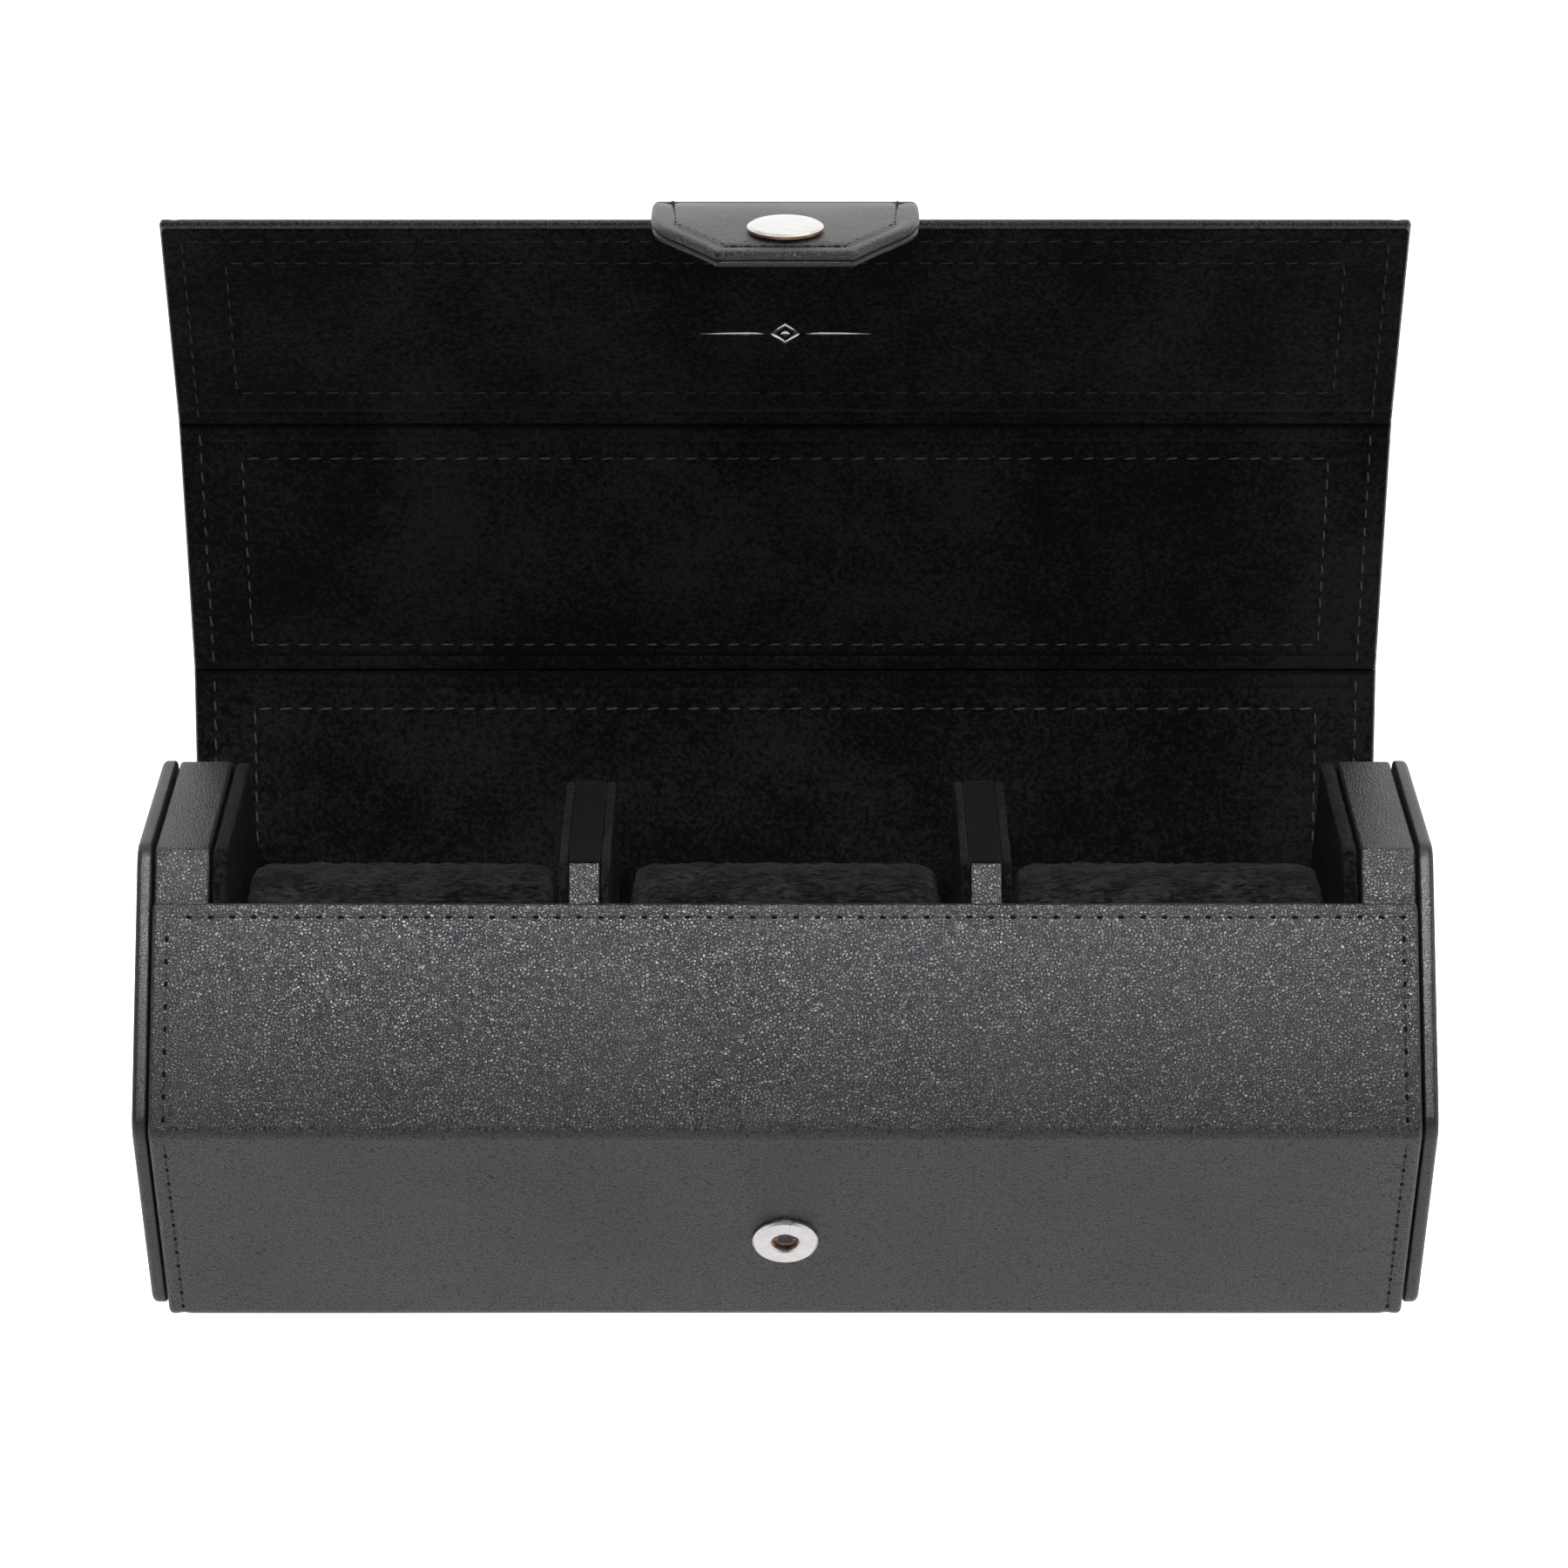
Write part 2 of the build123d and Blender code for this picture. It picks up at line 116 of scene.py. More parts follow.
class Strip:
    """A line through (y, z) points with rounded corners, measured by its length s."""

    def __init__(self, points, radii):
        points = [np.array(p, float) for p in points]
        self.runs = []
        self.corners = []
        position, length = points[0], 0.0
        for i in range(1, len(points)):
            direction = points[i] - points[i - 1]
            direction /= np.linalg.norm(direction)
            trim = turn = 0.0
            if i < len(points) - 1:
                after = points[i + 1] - points[i]
                after /= np.linalg.norm(after)
                turn = math.atan2(cross2(direction, after), direction @ after)
                trim = radii[i - 1] * math.tan(abs(turn) / 2)
            stop = points[i] - direction * trim
            run = np.linalg.norm(stop - position)
            self.runs.append((length, run, position, direction, 0.0, 0.0))
            length += run
            if turn:
                arc = radii[i - 1] * abs(turn)
                self.runs.append((length, arc, stop, direction, turn, radii[i - 1]))
                self.corners.append(length + arc / 2)
                length += arc
                position = points[i] + after * trim
        self.length = length

    def at(self, s):
        """Point (y, z), direction and outward normal at s."""
        for start, run, origin, direction, turn, radius in self.runs:
            if s <= start + run or (start, run) == self.runs[-1][:2]:
                break
        side = np.array([-direction[1], direction[0]])
        if not turn:
            return origin + direction * (s - start), direction, -side
        angle = turn * (s - start) / run
        sign = 1 if turn > 0 else -1
        centre = origin + side * radius * sign
        heading = direction * math.cos(angle) + side * math.sin(angle)
        normal = np.array([heading[1], -heading[0]])
        return centre + normal * radius * sign, heading, normal

    def place(self, x, s, w):
        point, _, normal = self.at(s)
        return Vector((x, *(point + normal * w)))

    def frame(self, s):
        """Direction along the strip and outward normal, as vectors."""
        _, heading, normal = self.at(s)
        return Vector((0, *heading)), Vector((0, *normal))

    def stations(self, s0, s1, step, rim=0.0, rims=(False, False), near=()):
        """Places along s: close together at corners, in rims and near given lines, step apart elsewhere."""
        marks = {round(s0, 8), round(s1, 8)}
        for start, run, _, _, turn, _ in self.runs:
            low, high = max(s0, start), min(s1, start + run)
            if high <= low:
                continue
            count = max(1, math.ceil((high - low) / (step if not turn else run / 8)))
            marks |= {round(low + (high - low) * k / count, 8) for k in range(count + 1)}
        crowded = [(corner, 0.2, 11) for corner in self.corners]
        crowded += [(row_s, ROW_GAP, ROW_REACH) for row_s in near]
        for centre, gap, reach in crowded:
            places = [centre + k * gap * MM for k in range(-reach, reach + 1)]
            marks |= {round(place, 8) for place in places if s0 < place < s1}
        for k in range(1, RIM_STEPS + 1):
            reach = rim * rim_step(k)
            if rims[0]:
                marks.add(round(s0 + reach, 8))
            if rims[1]:
                marks.add(round(s1 - reach, 8))
        kept = []
        for mark in sorted(marks):
            if not kept or mark - kept[-1] > MIN_GAP:
                kept.append(mark)
        return kept


def joint(name):
    return next(j for j in frame["joints"] if j["name"] == name)


def fold_axis(name):
    _, y, z = joint(name)["pos_m"]
    return np.array([y, z])


def side_points(node):
    """A CAD node's points, seen along X as (y, z)."""
    return np.array([(v.co.y, v.co.z) for v in frame["nodes"][node].data.vertices])


def long_side(node):
    """Direction of a flat panel's longer side in the YZ plane, pointing up, and its far end there."""
    points = side_points(node)
    middle = points.mean(0)
    _, _, axes = np.linalg.svd(points - middle)
    direction = axes[0] if axes[0][1] > 0 else -axes[0]
    reach = ((points - middle) @ direction).max()
    return direction, middle + direction * reach


def hexagon_corner(radius, degrees):
    angle = math.radians(degrees)
    return np.array([radius * math.cos(angle), CENTRE_Z + radius * math.sin(angle)])


wall_mid_radius = (CENTRE_Z - WALL_T / 2) / math.cos(math.radians(30))
front_corner = hexagon_corner(wall_mid_radius, 180)
up_front = np.array([math.sin(math.radians(30)), math.cos(math.radians(30))])
rear_fold, top_fold, front_fold = (
    fold_axis(n) for n in ("lid_rear_hinge", "lid_top_hinge", "lid_front_hinge")
)
front_up, front_end = long_side("lid_front_board")
front_reach = (front_end - front_fold) @ front_up
strip = Strip(
    [
        front_corner + up_front * FRONT_WALL,
        front_corner,
        hexagon_corner(wall_mid_radius, 240),
        hexagon_corner(wall_mid_radius, 300),
        rear_fold,
        top_fold,
        front_fold,
        front_fold + front_up * front_reach,
    ],
    [CORNER_R, CORNER_R, CORNER_R, FOLD_R, FOLD_R, FOLD_R],
)
S_FRONT, S_LOW_FRONT, S_LOW_REAR, S_REAR, S_TOP, S_FLAP = strip.corners
S_END = strip.length


# ---------------------------------------------------------------- meshes
def new_object(name, data):
    obj = bpy.data.objects.new(name, data)
    bpy.context.scene.collection.objects.link(obj)
    return obj


def mesh_object(name, verts, faces):
    data = bpy.data.meshes.new(name)
    data.from_pydata([tuple(v) for v in verts], [], faces)
    data.validate()
    obj = new_object(name, data)
    bpy.context.view_layer.objects.active = obj
    data.shade_smooth()
    return obj


def outward(obj, merged=False):
    """Turns all faces outward, after joining the points that lie together if merged."""
    bm = bmesh.new()
    bm.from_mesh(obj.data)
    if merged:
        bmesh.ops.remove_doubles(bm, verts=bm.verts, dist=MERGE_GAP)
        bmesh.ops.dissolve_degenerate(bm, dist=MERGE_GAP / 10, edges=bm.edges)
    bmesh.ops.recalc_face_normals(bm, faces=bm.faces)
    bm.to_mesh(obj.data)
    bm.free()
    obj.data.shade_smooth()
    return obj


def ring_faces(rings, count):
    """Quads between rings of count points that follow each other."""
    faces = []
    for ring in range(rings - 1):
        for k in range(count):
            a, b = ring * count + k, ring * count + (k + 1) % count
            faces.append((a, b, b + count, a + count))
    return faces


def end_caps(count, total):
    """Faces over the first and the last ring."""
    return [tuple(range(count)), tuple(range(total - count, total))]


def spread(half, step, rim):
    """Places across a sheet: close together in the rims, step apart between them."""
    count = max(2, round(2 * (half - rim) / step))
    inner = [-(half - rim) + 2 * (half - rim) * k / count for k in range(count + 1)]
    reaches = [rim * rim_step(k) for k in range(RIM_STEPS)]
    return [-half + r for r in reaches] + inner + [half - r for r in reversed(reaches)]


def rim_share(distance, rim):
    """Share of the full thickness at a distance in from a rounded edge."""
    if distance >= rim:
        return 1.0
    return math.sqrt(max(0.0, 1 - (1 - distance / rim) ** 2))


def sheet(name, place, xs, ss, top, bottom, rim, ends, corner_r=0.0):
    """A closed sheet over a grid of x and s, its sides rounded, and its ends too where ends says so."""
    half = xs[-1]
    verts, faces = [], []
    columns, rows = len(xs), len(ss)
    for face in (top, bottom):
        for s in ss:
            to_end = min([s - ss[0]] * ends[0] + [ss[-1] - s] * ends[1] + [1.0])
            for x in xs:
                to_side = half - abs(x)
                share = rim_share(min(to_side, to_end), rim)
                x1, s1 = x, s
                if to_side < corner_r and to_end < corner_r:
                    a, b = 1 - to_side / corner_r, 1 - to_end / corner_r
                    side_sign = 1 if x > 0 else -1
                    end_sign = -1 if ends[0] and s - ss[0] <= to_end + 1e-9 else 1
                    x1 = side_sign * (half - corner_r + corner_r * a * math.sqrt(1 - b * b / 2))
                    edge = ss[0] + corner_r if end_sign < 0 else ss[-1] - corner_r
                    s1 = edge + end_sign * corner_r * b * math.sqrt(1 - a * a / 2)
                middle = (top(x1, s1) + bottom(x1, s1)) / 2
                verts.append(place(x1, s1, middle + (face(x1, s1) - middle) * share))
    base = rows * columns
    for j in range(rows - 1):
        for i in range(columns - 1):
            a = j * columns + i
            quad = (a, a + 1, a + 1 + columns, a + columns)
            faces.append(quad)
            faces.append(tuple(base + k for k in reversed(quad)))
    for j, open_end in ((0, not ends[0]), (rows - 1, not ends[1])):
        if open_end:
            for i in range(columns - 1):
                a = j * columns + i
                faces.append((a, a + 1, base + a + 1, base + a))
    return outward(mesh_object(name, verts, faces), merged=True)


def joined(name, parts):
    """One mesh from several lists of (verts, faces)."""
    verts, faces = [], []
    for part_verts, part_faces in parts:
        base = len(verts)
        verts += part_verts
        faces += [tuple(base + i for i in f) for f in part_faces]
    return outward(mesh_object(name, verts, faces))


# ---------------------------------------------------------------- materials
def fill(tree, socket, value):
    """Links an output to a socket, or sets the socket to a constant."""
    if isinstance(value, bpy.types.NodeSocket):
        tree.links.new(value, socket)
    else:
        socket.default_value = value


class Nodes:
    """Short calls for building a material's node tree."""

    def __init__(self, name):
        self.material = bpy.data.materials.new(name)
        self.material.use_nodes = True
        self.tree = self.material.node_tree
        self.shader = self.tree.nodes["Principled BSDF"]
        self.where = self.add("ShaderNodeTexCoord").outputs["Object"]

    def add(self, kind, **settings):
        node = self.tree.nodes.new(kind)
        for key, value in settings.items():
            setattr(node, key, value)
        return node

    def link(self, output, socket):
        self.tree.links.new(output, socket)

    def feed(self, node, **inputs):
        """Sets or links a node's inputs; an underscore stands for a space in an input's name."""
        for key, value in inputs.items():
            fill(self.tree, node.inputs[key.replace("_", " ")], value)

    def noise(self, scale, detail=2.0, roughness=0.5, where=None):
        node = self.add("ShaderNodeTexNoise")
        self.feed(node, Vector=where or self.where, Scale=scale, Detail=detail, Roughness=roughness)
        return node.outputs["Fac"]

    def cell_edges(self, scale, where):
        """Distance to the nearest edge of an irregular cell."""
        node = self.add("ShaderNodeTexVoronoi", feature="DISTANCE_TO_EDGE")
        self.feed(node, Vector=where, Scale=scale)
        return node.outputs["Distance"]

    def math(self, operation, a, b=0.0):
        node = self.add("ShaderNodeMath", operation=operation)
        for socket, value in zip(node.inputs, (a, b)):
            fill(self.tree, socket, value)
        return node.outputs[0]

    def blend(self, first, *others):
        """Sum of (output, weight) pairs."""
        total = self.math("MULTIPLY", *first)
        for pair in others:
            total = self.math("ADD", total, self.math("MULTIPLY", *pair))
        return total

    def span(self, value, low, high, to_low=0.0, to_high=1.0):
        node = self.add("ShaderNodeMapRange")
        self.feed(node, Value=value, From_Min=low, From_Max=high, To_Min=to_low, To_Max=to_high)
        return node.outputs["Result"]

    def mix(self, share, a, b):
        node = self.add("ShaderNodeMix", data_type="RGBA")
        self.link(share, node.inputs[0])
        for socket, value in ((node.inputs[6], a), (node.inputs[7], b)):
            fill(self.tree, socket, (*value, 1) if isinstance(value, tuple) else value)
        return node.outputs[2]

    def warped(self, scale, amount):
        """Coordinates pushed about by noise, so that a regular pattern turns irregular."""
        node = self.add("ShaderNodeTexNoise")
        self.feed(node, Vector=self.where, Scale=scale, Detail=2.0)
        centred = self.add("ShaderNodeVectorMath", operation="SUBTRACT")
        self.link(node.outputs["Color"], centred.inputs[0])
        centred.inputs[1].default_value = (0.5, 0.5, 0.5)
        scaled = self.add("ShaderNodeVectorMath", operation="SCALE")
        self.link(centred.outputs[0], scaled.inputs[0])
        scaled.inputs["Scale"].default_value = amount
        moved = self.add("ShaderNodeVectorMath", operation="ADD")
        self.link(self.where, moved.inputs[0])
        self.link(scaled.outputs[0], moved.inputs[1])
        return moved.outputs[0]

    def stretched(self, scale):
        node = self.add("ShaderNodeMapping")
        self.feed(node, Vector=self.where, Scale=scale)
        return node.outputs[0]

    def bump(self, height, strength, distance):
        node = self.add("ShaderNodeBump")
        self.feed(node, Height=height, Strength=strength, Distance=distance)
        self.link(node.outputs[0], self.shader.inputs["Normal"])

    def finish(self, **inputs):
        self.feed(self.shader, **inputs)
        return self.material


GRAIN_SCALE = 1 / (0.54 * MM)


def leather(name, top, valley_shade, rough, grain):
    """Fine pebble grain: small tilted tops between narrow valleys painted darker as shade, worn smoother in
    patches.
    """
    n = Nodes(name)
    where = n.warped(900.0, 0.35 * MM)
    edge = n.cell_edges(GRAIN_SCALE, where)
    pebble = n.span(edge, 0.0, 0.30)
    tilt = n.noise(1700.0, 2.0)
    patch = n.noise(45.0, 3.0)
    wave = n.noise(110.0, 1.0)
    n.bump(n.blend((pebble, 0.8), (tilt, 1.25), (wave, 2.0)), grain, 0.09 * MM)
    body = n.mix(n.span(tilt, 0.35, 0.65), tuple(0.6 * c for c in top), tuple(1.3 * c for c in top))
    # The valleys' darker colour is painted shade in the grain's hollows.
    colour = n.mix(n.span(edge, 0.0, 0.11), valley_shade, body)
    roughness = n.span(patch, 0.3, 0.7, rough - 0.04, rough + 0.05)
    shine = n.span(edge, 0.0, 0.10, 0.20, 0.55)
    return n.finish(Base_Color=colour, Roughness=roughness, Specular_IOR_Level=shine)


def suede(name, light, dark, nap, stretch=(1.0, 1.0, 1.0), patch_scale=38.0, contrast=(0.66, 0.92)):
    """Brushed nap: mottled at the size of its tufts, with broad strokes where it was wiped."""
    n = Nodes(name)
    where = n.stretched(stretch)
    tuft = n.noise(1250.0, 3.0, 0.6, where)
    hair = n.noise(4200.0, 2.0, 0.6, where)
    stroke = n.noise(patch_scale, 4.0, 0.62)
    mottled = n.blend((tuft, 0.8), (stroke, 0.5), (hair, 0.3))
    colour = n.mix(n.span(mottled, *contrast), dark, light)
    n.bump(n.blend((tuft, 0.8), (hair, 0.5)), nap, 0.4 * MM)
    sheen = {"Sheen_Tint": (0.8, 0.8, 0.85, 1), "Sheen_Weight": 0.02}
    return n.finish(Base_Color=colour, Roughness=0.95, Specular_IOR_Level=0.08, **sheen)


def metal(name, colour, rough, brushed=0.25):
    n = Nodes(name)
    patch = n.noise(700.0, 3.0)
    scratch = n.noise(2600.0, 2.0, 0.6, n.stretched((1.0, 7.0, 7.0)))
    tone = n.mix(n.span(patch, 0.3, 0.7), tuple(0.86 * c for c in colour), colour)
    n.bump(scratch, brushed, 0.02 * MM)
    roughness = n.span(patch, 0.3, 0.7, rough, rough + 0.12)
    return n.finish(Base_Color=tone, Metallic=1.0, Roughness=roughness)


def thread(name, colour):
    """Twisted thread."""
    n = Nodes(name)
    twist = n.noise(3200.0, 2.0)
    tone = n.mix(n.span(twist, 0.35, 0.65), tuple(0.55 * c for c in colour), colour)
    n.bump(twist, 0.5, 0.08 * MM)
    return n.finish(Base_Color=tone, Roughness=0.7, Specular_IOR_Level=0.3)


def plain_fibre(name, light, dark):
    """Board or fibreboard, seen only in the grooves, where its near-black copy is painted shade; also the
    dark lens painted as the shade inside a needle hole.
    """
    n = Nodes(name)
    speck = n.noise(1800.0, 4.0, 0.7)
    n.bump(speck, 0.4, 0.1 * MM)
    return n.finish(Base_Color=n.mix(speck, dark, light), Roughness=0.9, Specular_IOR_Level=0.15)


# Grained leather; its second colour, in the grain's valleys, is painted shade.
LEATHER = leather("grained_leather", (0.0185, 0.0172, 0.0212), (0.0022, 0.0022, 0.0026), 0.40, 0.85)
# Smooth turned-edge leather with less grain; its darker colour is painted shade on the end discs' rims and
# the tab's underside.
EDGE_LEATHER_SHADED = leather("turned_leather_edge_shaded", (0.008, 0.008, 0.009), (0.004, 0.004, 0.004), 0.44, 0.3)
SUEDE = suede(
    "lining_suede", (0.0082, 0.0080, 0.0086), (0.0001, 0.0001, 0.0001), 1.0, contrast=(0.73, 0.92)
)
FUR = suede(
    "cushion_suede",
    (0.019, 0.0187, 0.0183),
    (0.0002, 0.0002, 0.0002),
    nap=1.0,
    stretch=(0.5, 1.3, 1.3),
    patch_scale=160.0,
    contrast=(0.72, 0.96),
)
# Near-black nap for the dividers' rim tops; also the painted shade in the lining's fold creases.
NAP_AND_CREASE_SHADE = suede("divider_nap_and_crease_shade", (0.0022, 0.0022, 0.0024), (0.0004, 0.0004, 0.0004), 0.4)
SILVER = metal("snap_nickel", (0.64, 0.63, 0.61), 0.24)
COPPER = metal("snap_copper", (0.62, 0.34, 0.22), 0.30)
FOIL = metal("silver_foil", (0.72, 0.73, 0.76), 0.30, 0.5)
BLACK_THREAD = thread("black_thread", (0.017, 0.017, 0.018))
GREY_THREAD = thread("grey_thread", (0.040, 0.040, 0.041))
# A darker copy of the grey lining thread for the lid's front panel: its darkness is painted shade.
GREY_THREAD_SHADED = thread("grey_thread_shaded", (0.010, 0.010, 0.011))
# Near-black for the needle holes' lenses: painted shade.
HOLE_SHADE = plain_fibre("needle_hole_shade", (0.0012, 0.0012, 0.0012), (0.0006, 0.0006, 0.0006))
BOARD = plain_fibre("bookbinding_board", (0.30, 0.26, 0.20), (0.20, 0.17, 0.13))
# Near-black fibreboard for the blocks, so that the narrow grooves beside the end bands read dark: painted
# shade.
BLOCK_GROOVE_SHADE = plain_fibre("fibreboard_groove_shade", (0.010, 0.010, 0.010), (0.004, 0.004, 0.004))


def dress(obj, material):
    obj.data.materials.clear()
    obj.data.materials.append(material)
    return obj


def paint(obj, material, chosen):
    """Gives a second material to the faces that chosen picks."""
    obj.data.materials.append(material)
    for face in obj.data.polygons:
        face.material_index = int(chosen(face))


# ---------------------------------------------------------------- fixed walls and lid
def bell(distance, reach):
    return math.exp(-((distance / reach) ** 2))


def crease_dip(s, depth, reach):
    """How far a layer is drawn in at the lid's three folds."""
    return sum(depth * bell(s - c, reach) for c in (S_REAR, S_TOP, S_FLAP))


def front_sag(x, s):
    """The front corner's leather stands off the board a little in the middle, in a soft bulge."""
    broad = bell(x, 0.33 * HALF_WIDTH)
    ripple = 0.10 * math.sin(x / (9 * MM)) + 0.07 * math.sin(x / (4.3 * MM) + 1.0)
    return (0.25 + 0.4 * ripple) * broad * MM * bell(s - (S_FRONT - 1.6 * MM), 1.7 * MM)


def seam_dip(x, s):
    """The leather is drawn down along its rows of stitches."""
    to_side = HALF_WIDTH - STITCH_INSET - abs(x)
    dip = bell(to_side, 0.75 * MM)
    for row_s in (STITCH_INSET, S_END - STITCH_INSET):
        if to_side > 0:
            dip = max(dip, bell(s - row_s, 0.75 * MM))
    return 0.16 * MM * dip


def leather_top(x, s):
    folds = crease_dip(s, 0.28 * MM, 1.3 * MM)
    swell = 0.08 * MM * math.sin(x / (23 * MM) + s / (17 * MM))
    return WALL_T / 2 + front_sag(x, s) - folds - seam_dip(x, s) + max(0.0, swell) * 0.6


def leather_bottom(x, s):
    """Inside of the leather: under the lining, and right round the turned edges at both ends."""
    turned = min(1.0, min(s, S_END - s) / (2.2 * MM))
    level = -WALL_T / 2 + (LINING_T - 0.05 * MM) * turned
    return max(level, level + crease_dip(s, 0.75 * MM, 0.6 * MM))


def strip_piece(name, s0, s1, ends, layer):
    """A piece of the strip's leather or lining, from s0 to s1."""
    top, bottom, half, rim, step = layer
    xs = spread(half, step, rim)
    row_x = HALF_WIDTH - STITCH_INSET
    beside = range(-ROW_REACH, ROW_REACH + 1)
    xs += [sign * (row_x + k * ROW_GAP * MM) for sign in (-1, 1) for k in beside]
    xs = [x for x, before in zip(sorted(xs), [-1, *sorted(xs)]) if x - before > MIN_GAP]
    ss = strip.stations(s0, s1, step * 0.7, rim, ends, (STITCH_INSET, S_END - STITCH_INSET))
    return sheet(name, strip.place, xs, ss, top, bottom, rim, ends, 0.9 * MM)


def lining_pad(x, s, rows):
    """The lining is a little full between its rows of stitches, and drawn down at them."""
    inner = HALF_WIDTH - QUILT_INSET
    full = 0.0
    for low, high in rows:
        if low < s < high and abs(x) < inner:
            full = min(s - low, high - s, inner - abs(x))
    fullness = 0.10 * MM if s > S_FLAP else 0.30 * MM  # the front panel lies close on the front wall
    return fullness * (1 - math.exp(-full / (2.2 * MM)))


PANELS = {
    "lid_rear": (S_REAR, S_TOP),
    "lid_top": (S_TOP, S_FLAP),
    "lid_front": (S_FLAP, S_END),
}
QUILT_GAPS = ((5.0 * MM, 6.8 * MM), (5.5 * MM, 6.5 * MM), (7.6 * MM, 8.2 * MM))
QUILTS = [
    (low + gaps[0], high - gaps[1]) for (low, high), gaps in zip(PANELS.values(), QUILT_GAPS)
]


def lining_inner(x, s):
    fold_groove = crease_dip(s, 0.85 * MM, 0.42 * MM)
    beside = crease_dip(s, 0.12 * MM, 1.6 * MM)
    pad = lining_pad(x, s, QUILTS) if s > S_REAR else 0.0
    return -WALL_T / 2 - pad + fold_groove - beside


def lining_outer(x, s):
    return max(-WALL_T / 2 + LINING_T, lining_inner(x, s) + 0.3 * MM)


LEATHER_LAYER = (leather_top, leather_bottom, HALF_WIDTH, 0.72 * MM, 3.0 * MM)
LINING_LAYER = (lining_outer, lining_inner, HALF_WIDTH - 0.35 * MM, 0.2 * MM, 1.9 * MM)
FOLDS = [
    ("rear", S_REAR, "case", "lid_rear"),
    ("top", S_TOP, "lid_rear", "lid_top"),
    ("front", S_FLAP, "lid_top", "lid_front"),
]


def bend_over(obj, s, before, after):
    """Bakes a piece's transform into its mesh; it does not bend the piece over the fold. The arguments
    before and after are not used.
    """
    start, end = strip.place(0, s - FOLD_REACH, 0), strip.place(0, s + FOLD_REACH, 0)
    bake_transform(obj)
    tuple(start)
    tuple(end)


def paint_crease_shade(obj, line):
    """Paints the shade of the lining's fold: faces near the crease take the near-black nap, a black line of
    painted shade.
    """
    crease_shade_reach = 0.62 * MM
    paint(obj, NAP_AND_CREASE_SHADE, lambda face: math.hypot(face.center.y - line.y, face.center.z - line.z) < crease_shade_reach)


def walls_and_lid():
    wall_leather = [f"{n}_leather" for n in ("front_upper", "front_lower", "bottom", "rear_lower")]
    wall_boards = [f"{n}_board" for n in ("front_upper", "front_lower", "bottom", "rear_lower")]
    wrap = strip_piece("wall_leather", 0, S_REAR - FOLD_REACH, (True, False), LEATHER_LAYER)
    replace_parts(dress(wrap, LEATHER), *wall_leather, *wall_boards)
    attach(wrap, "case")
    lining = strip_piece("wall_lining", 0.9 * MM, S_REAR - FOLD_REACH, (True, False), LINING_LAYER)
    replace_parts(dress(lining, SUEDE), "case_lining")
    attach(lining, "case")
    for panel, (low, high) in PANELS.items():
        last = high == S_END
        stop = high if last else high - FOLD_REACH
        back = strip_piece(f"{panel}_back", low + FOLD_REACH, stop, (False, last), LEATHER_LAYER)
        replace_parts(dress(back, LEATHER), f"{panel}_leather", f"{panel}_board")
        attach(back, panel)
        stop = high - 1.0 * MM if last else stop
        inside = strip_piece(f"{panel}_inside", low + FOLD_REACH, stop, (False, last), LINING_LAYER)
        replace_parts(dress(inside, SUEDE), f"{panel}_lining")
        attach(inside, panel)
    for name, s, before, after in FOLDS:
        low, high = s - FOLD_REACH, s + FOLD_REACH
        outside = strip_piece(f"fold_{name}_back", low, high, (False, False), LEATHER_LAYER)
        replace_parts(dress(outside, LEATHER), f"fold_{name}")
        bend_over(outside, s, before, after)
        inside = strip_piece(f"fold_{name}_inside", low, high, (False, False), LINING_LAYER)
        dress(inside, SUEDE)
        paint_crease_shade(inside, strip.place(0, s, -WALL_T / 2))
        bend_over(inside, s, before, after)


# ---------------------------------------------------------------- stitches
def capsule(middle, along, out, length, radius, sink):
    """A stitch: a fat thread, its ends drawn down into the leather. Returns (verts, faces)."""
    across = along.cross(out).normalized()
    verts = []
    profile = [(-0.5, 0.35), (-0.36, 0.85), (-0.12, 1.0), (0.12, 1.0), (0.36, 0.85), (0.5, 0.35)]
    for share, fat in profile:
        drop = sink * (abs(share) * 2) ** 2
        centre = middle + along * (share * length) - out * drop
        for k in range(THREAD_SIDES):
            angle = k * math.pi / (THREAD_SIDES / 2)
            arm = across * math.cos(angle) + out * math.sin(angle)
            verts.append(centre + arm * radius * fat)
    first, last = end_caps(THREAD_SIDES, len(verts))
    return verts, ring_faces(len(profile), THREAD_SIDES) + [first[::-1], last]


def needle_hole_shade(middle, along, out, length, width):
    """A dark lens where the thread goes down: painted shade for the inside of the needle hole. Returns
    (verts, faces).
    """
    across = along.cross(out).normalized()
    verts, faces = [middle + out * 0.10 * MM], []
    for level, size in ((0.09, 0.55), (0.0, 1.0), (-0.15, 0.9)):
        for k in range(HOLE_SIDES):
            angle = k * math.pi / (HOLE_SIDES / 2)
            arm = along * (math.cos(angle) * length / 2) + across * (math.sin(angle) * width / 2)
            verts.append(middle + arm * size + out * level * MM)
    for k in range(HOLE_SIDES):
        faces.append((0, 1 + k, 1 + (k + 1) % HOLE_SIDES))
    for quad in ring_faces(3, HOLE_SIDES):
        a, b, b_next, a_next = (1 + i for i in quad)
        faces.append((a, a_next, b_next, b))
    faces.append(tuple(range(len(verts) - HOLE_SIDES, len(verts))))
    return verts, faces


def row(start, end, pitch=STITCH_PITCH):
    """Middles of the stitches between two (x, s) points, and the row's direction in x and s."""
    start, end = np.array(start, float), np.array(end, float)
    length = np.linalg.norm(end - start)
    count = max(1, round(length / pitch))
    direction = (end - start) / length
    return [start + (end - start) * (k + 0.5) / count for k in range(count)], direction


def on_strip(x, s, w, direction):
    """Place on the strip, the row's direction there, and the normal away from mid-thickness."""
    heading, normal = strip.frame(s)
    along = (Vector((1, 0, 0)) * direction[0] + heading * direction[1]).normalized()
    return strip.place(x, s, w), along, normal if w > 0 else -normal


